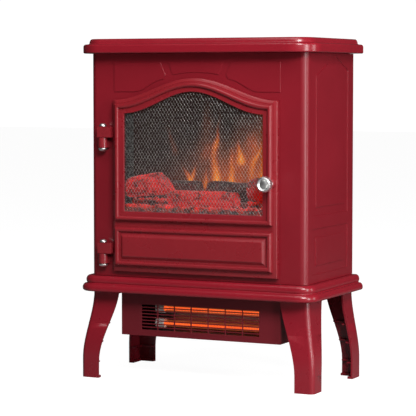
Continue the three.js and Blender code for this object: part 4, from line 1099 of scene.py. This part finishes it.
smoke_tint = ramp(
    smoked_tree,
    pattern(smoked_tree, 30, 2),
    (0.3, (0.006, 0.003, 0.002)),
    (0.7, (0.012, 0.006, 0.004)),
)
smoked_tree.links.new(smoke_tint, smoked_surface.inputs["Base Color"])
smoked_tree.links.new(
    spread(smoked_tree, pattern(smoked_tree, 80, 2), 0.3, 0.45), smoked_surface.inputs["Roughness"]
)
fire_colour = ramp(
    smoked_tree,
    flame_amount,
    (0.0, (0.010, 0.0025, 0.0015)),
    (0.18, (0.09, 0.016, 0.002)),
    (0.45, (0.42, 0.06, 0.002)),
    (0.75, (0.85, 0.22, 0.01)),
    (1.0, (1.0, 0.5, 0.05)),
)
smoked_tree.links.new(fire_colour, smoked_surface.inputs["Emission Color"])
smoked_surface.inputs["Emission Strength"].default_value = 1.0
relief(smoked_tree, smoked_surface, pattern(smoked_tree, 300, 2), 0.1, 0.0003)
fasten(flame_sheet, smoked, "flame_screen", "cabinet", "flame_screen")


# ---------------------------------------------------------------- flame spindle and its motor
# Behind the sheet a spindle with rows of bright bent flags turns slowly and throws the light
# about. A small motor in a pressed can drives it from one end.

bright_sheet = metal("bright_aluminium", (0.82, 0.81, 0.8), 0.12, 0.26, stretch=(1, 6, 6))
spindle = finished_copy("flame_spindle_flags", "flame_rotor", edge=0.0002, smooth=35)
fasten(spindle, bright_sheet, "bright_reflector", "flame_spindle", "flame_rotor")
motor_can = metal("motor_can", (0.45, 0.45, 0.44), 0.35, 0.5)
spindle_motor = finished_copy("flame_motor_can", "flame_motor", edge=0.0006)
fasten(spindle_motor, motor_can, "motor_can", "cabinet", "flame_motor")


# ---------------------------------------------------------------- heater housing
# A box of thin steel hangs under the cabinet, painted a darker red. Its face is punched with
# seven columns of eight slots.

heater_red = red_enamel("heater_enamel", (0.115, 0.007, 0.012), (0.14, 0.009, 0.015), 0.4, 0.5, 0.3)
housing = finished_copy("heater_box", "heater_housing", edge=0.0003)
fasten(housing, heater_red, "dark_red_steel", "cabinet", "heater_housing")
grille = finished_copy("heater_grille", "heater_face", edge=0.0003)
fasten(grille, heater_red, "dark_red_steel", "cabinet", "heater_face")
# The trough's aluminium is far darker than the bright flags on the spindle: painted shade for the
# inside of the heater box.
darkened_sheet = metal("darkened_trough_aluminium", (0.34, 0.33, 0.31), 0.34, 0.5, stretch=(1, 6, 6))
shiny_trough = finished_copy("heater_reflector", "reflector", edge=0)
fasten(shiny_trough, darkened_sheet, "bright_reflector", "cabinet", "reflector")


# ---------------------------------------------------------------- quartz heating tubes
# Two clear quartz tubes each hold a wound resistance wire that glows orange. White ceramic
# caps carry their ends and keep them off the steel.


def wound_wire(tree, given):
    turns = arithmetic(tree, "DIVIDE", given["Length"], given["Turn pitch"])
    helix = wire_up(
        tree,
        "GeometryNodeCurveSpiral",
        {
            "Resolution": 14,
            "Rotations": turns,
            "Start Radius": given["Coil radius"],
            "End Radius": given["Coil radius"],
            "Height": given["Length"],
        },
    )
    strand = wire_up(
        tree, "GeometryNodeCurvePrimitiveCircle", {"Resolution": 6, "Radius": given["Wire radius"]}
    )
    wound = wire_up(
        tree,
        "GeometryNodeCurveToMesh",
        {"Curve": helix.outputs[0], "Profile Curve": strand.outputs[0], "Fill Caps": True},
    )
    laid = wire_up(
        tree,
        "GeometryNodeTransform",
        {
            0: wound.outputs[0],
            "Translation": triple(tree, given["Left"], given["Depth"], given["Level"]),
            "Rotation": (0, math.pi / 2, 0),
        },
    )
    return laid.outputs[0]


quartz, quartz_tree, quartz_surface = shader("lit_quartz")
quartz_surface.inputs["Base Color"].default_value = (1.0, 0.9, 0.82, 1)
quartz_surface.inputs["Transmission Weight"].default_value = 1.0
quartz_surface.inputs["IOR"].default_value = 1.2
quartz_tree.links.new(
    spread(quartz_tree, pattern(quartz_tree, 60, 2), 0.04, 0.16), quartz_surface.inputs["Roughness"]
)
quartz_glow = ramp(
    quartz_tree, pattern(quartz_tree, 25, 2), (0.3, (1.0, 0.16, 0.04)), (0.7, (1.0, 0.24, 0.07))
)
quartz_tree.links.new(quartz_glow, quartz_surface.inputs["Emission Color"])
quartz_surface.inputs["Emission Strength"].default_value = 0.05
hot_wire, hot_tree, hot_surface = shader("glowing_resistance_wire")
hot_surface.inputs["Base Color"].default_value = (0.2, 0.05, 0.02, 1)
hot_tree.links.new(
    ramp(hot_tree, pattern(hot_tree, 40, 2), (0.3, (1.0, 0.1, 0.015)), (0.7, (1.0, 0.16, 0.03))),
    hot_surface.inputs["Emission Color"],
)
hot_surface.inputs["Emission Strength"].default_value = 1.3
ceramic, ceramic_tree, ceramic_surface = shader("white_ceramic")
glaze = ramp(
    ceramic_tree,
    pattern(ceramic_tree, 90, 4),
    (0.3, (0.62, 0.59, 0.54)),
    (0.7, (0.74, 0.72, 0.68)),
)
ceramic_tree.links.new(glaze, ceramic_surface.inputs["Base Color"])
ceramic_surface.inputs["Roughness"].default_value = 0.7
relief(ceramic_tree, ceramic_surface, pattern(ceramic_tree, 900, 3), 0.25, 0.0003)
for level in ("lower", "upper"):
    low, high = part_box("quartz_tube_" + level)
    tube_y, tube_z = (low.y + high.y) / 2, (low.z + high.z) / 2
    long = high.x - low.x
    outer = (high.z - low.z) / 2
    wall = [(outer - 0.001, 0), (outer, 0), (outer, long), (outer - 0.001, long)]
    tube = turned("quartz_" + level, wall, (low.x, tube_y, tube_z), "x", segments=32, ring=True)
    fasten(tube, quartz, "quartz_glass", "cabinet", "quartz_tube_" + level)
    coil_low, coil_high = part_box("heating_coil_" + level)
    element = grown(
        "resistance_wire_" + level,
        {
            "Coil radius": 0.0026,
            "Wire radius": 0.00042,
            "Turn pitch": 0.0028,
            "Length": coil_high.x - coil_low.x - 0.001,
            "Left": coil_low.x + 0.0005,
            "Depth": tube_y,
            "Level": tube_z,
            "Material": hot_wire,
        },
        wound_wire,
    )
    element.data.shade_smooth()
    fasten(element, None, "glowing_coil", "cabinet", "heating_coil_" + level)
    for side in ("left", "right"):
        end = f"{level}_{side}"
        end_cap = finished_copy("ceramic_cap_" + end, "tube_cap_" + end, edge=0.0005)
        fasten(end_cap, ceramic, "ceramic", "cabinet", "tube_cap_" + end)


# ---------------------------------------------------------------- blower
# A long squirrel cage impeller in a curved scroll blows air over the tubes. Its motor sits
# beside it in a steel can.

scroll = finished_copy("blower_scroll", "blower_housing", edge=0.0002, smooth=35)
fasten(scroll, black_moulded, "black_plastic", "cabinet", "blower_housing")
impeller = finished_copy("blower_impeller", "blower_rotor", edge=0.0002, smooth=35)
fasten(impeller, black_moulded, "black_plastic", "blower_fan", "blower_rotor")
fan_motor = finished_copy("blower_motor_can", "blower_motor", edge=0.0008)
fasten(fan_motor, motor_can, "motor_can", "cabinet", "blower_motor")


# ---------------------------------------------------------------- controls
# Behind the door's lower panel a black plate carries three push buttons over a small circuit
# board: power, flame and heat.

plate = finished_copy("control_panel", "control_plate", edge=0.0003)
fasten(plate, black_powder, "black_steel", "cabinet", "control_plate")
key_plastic = black_coat("key_plastic", (0.03, 0.03, 0.032), 0.42, 1500, 0.2)
for use in ("power", "flame", "heat"):
    key = finished_copy("push_button_" + use, "button_" + use, edge=0.0008)
    fasten(key, key_plastic, "black_plastic", use + "_button", "button_" + use)
logic_board = finished_copy("control_circuit", "control_board", edge=0.0002)
fasten(logic_board, green_board, "circuit_board", "cabinet", "control_board")


# ---------------------------------------------------------------- main switch and cord entry
# On the back sheet a rocker switch snaps into a bezel on one side, and a moulded gland guides
# the cord out on the other.

bezel = finished_copy("switch_frame", "switch_bezel", edge=0.0004)
fasten(bezel, black_moulded, "black_plastic", "cabinet", "switch_bezel")
rocker = finished_copy("switch_key", "switch_rocker", edge=0.0006)
fasten(rocker, key_plastic, "black_plastic", "master_switch", "switch_rocker")
gland = finished_copy("cord_entry", "cord_gland", edge=0.0006)
fasten(gland, black_moulded, "black_plastic", "cabinet", "cord_gland")
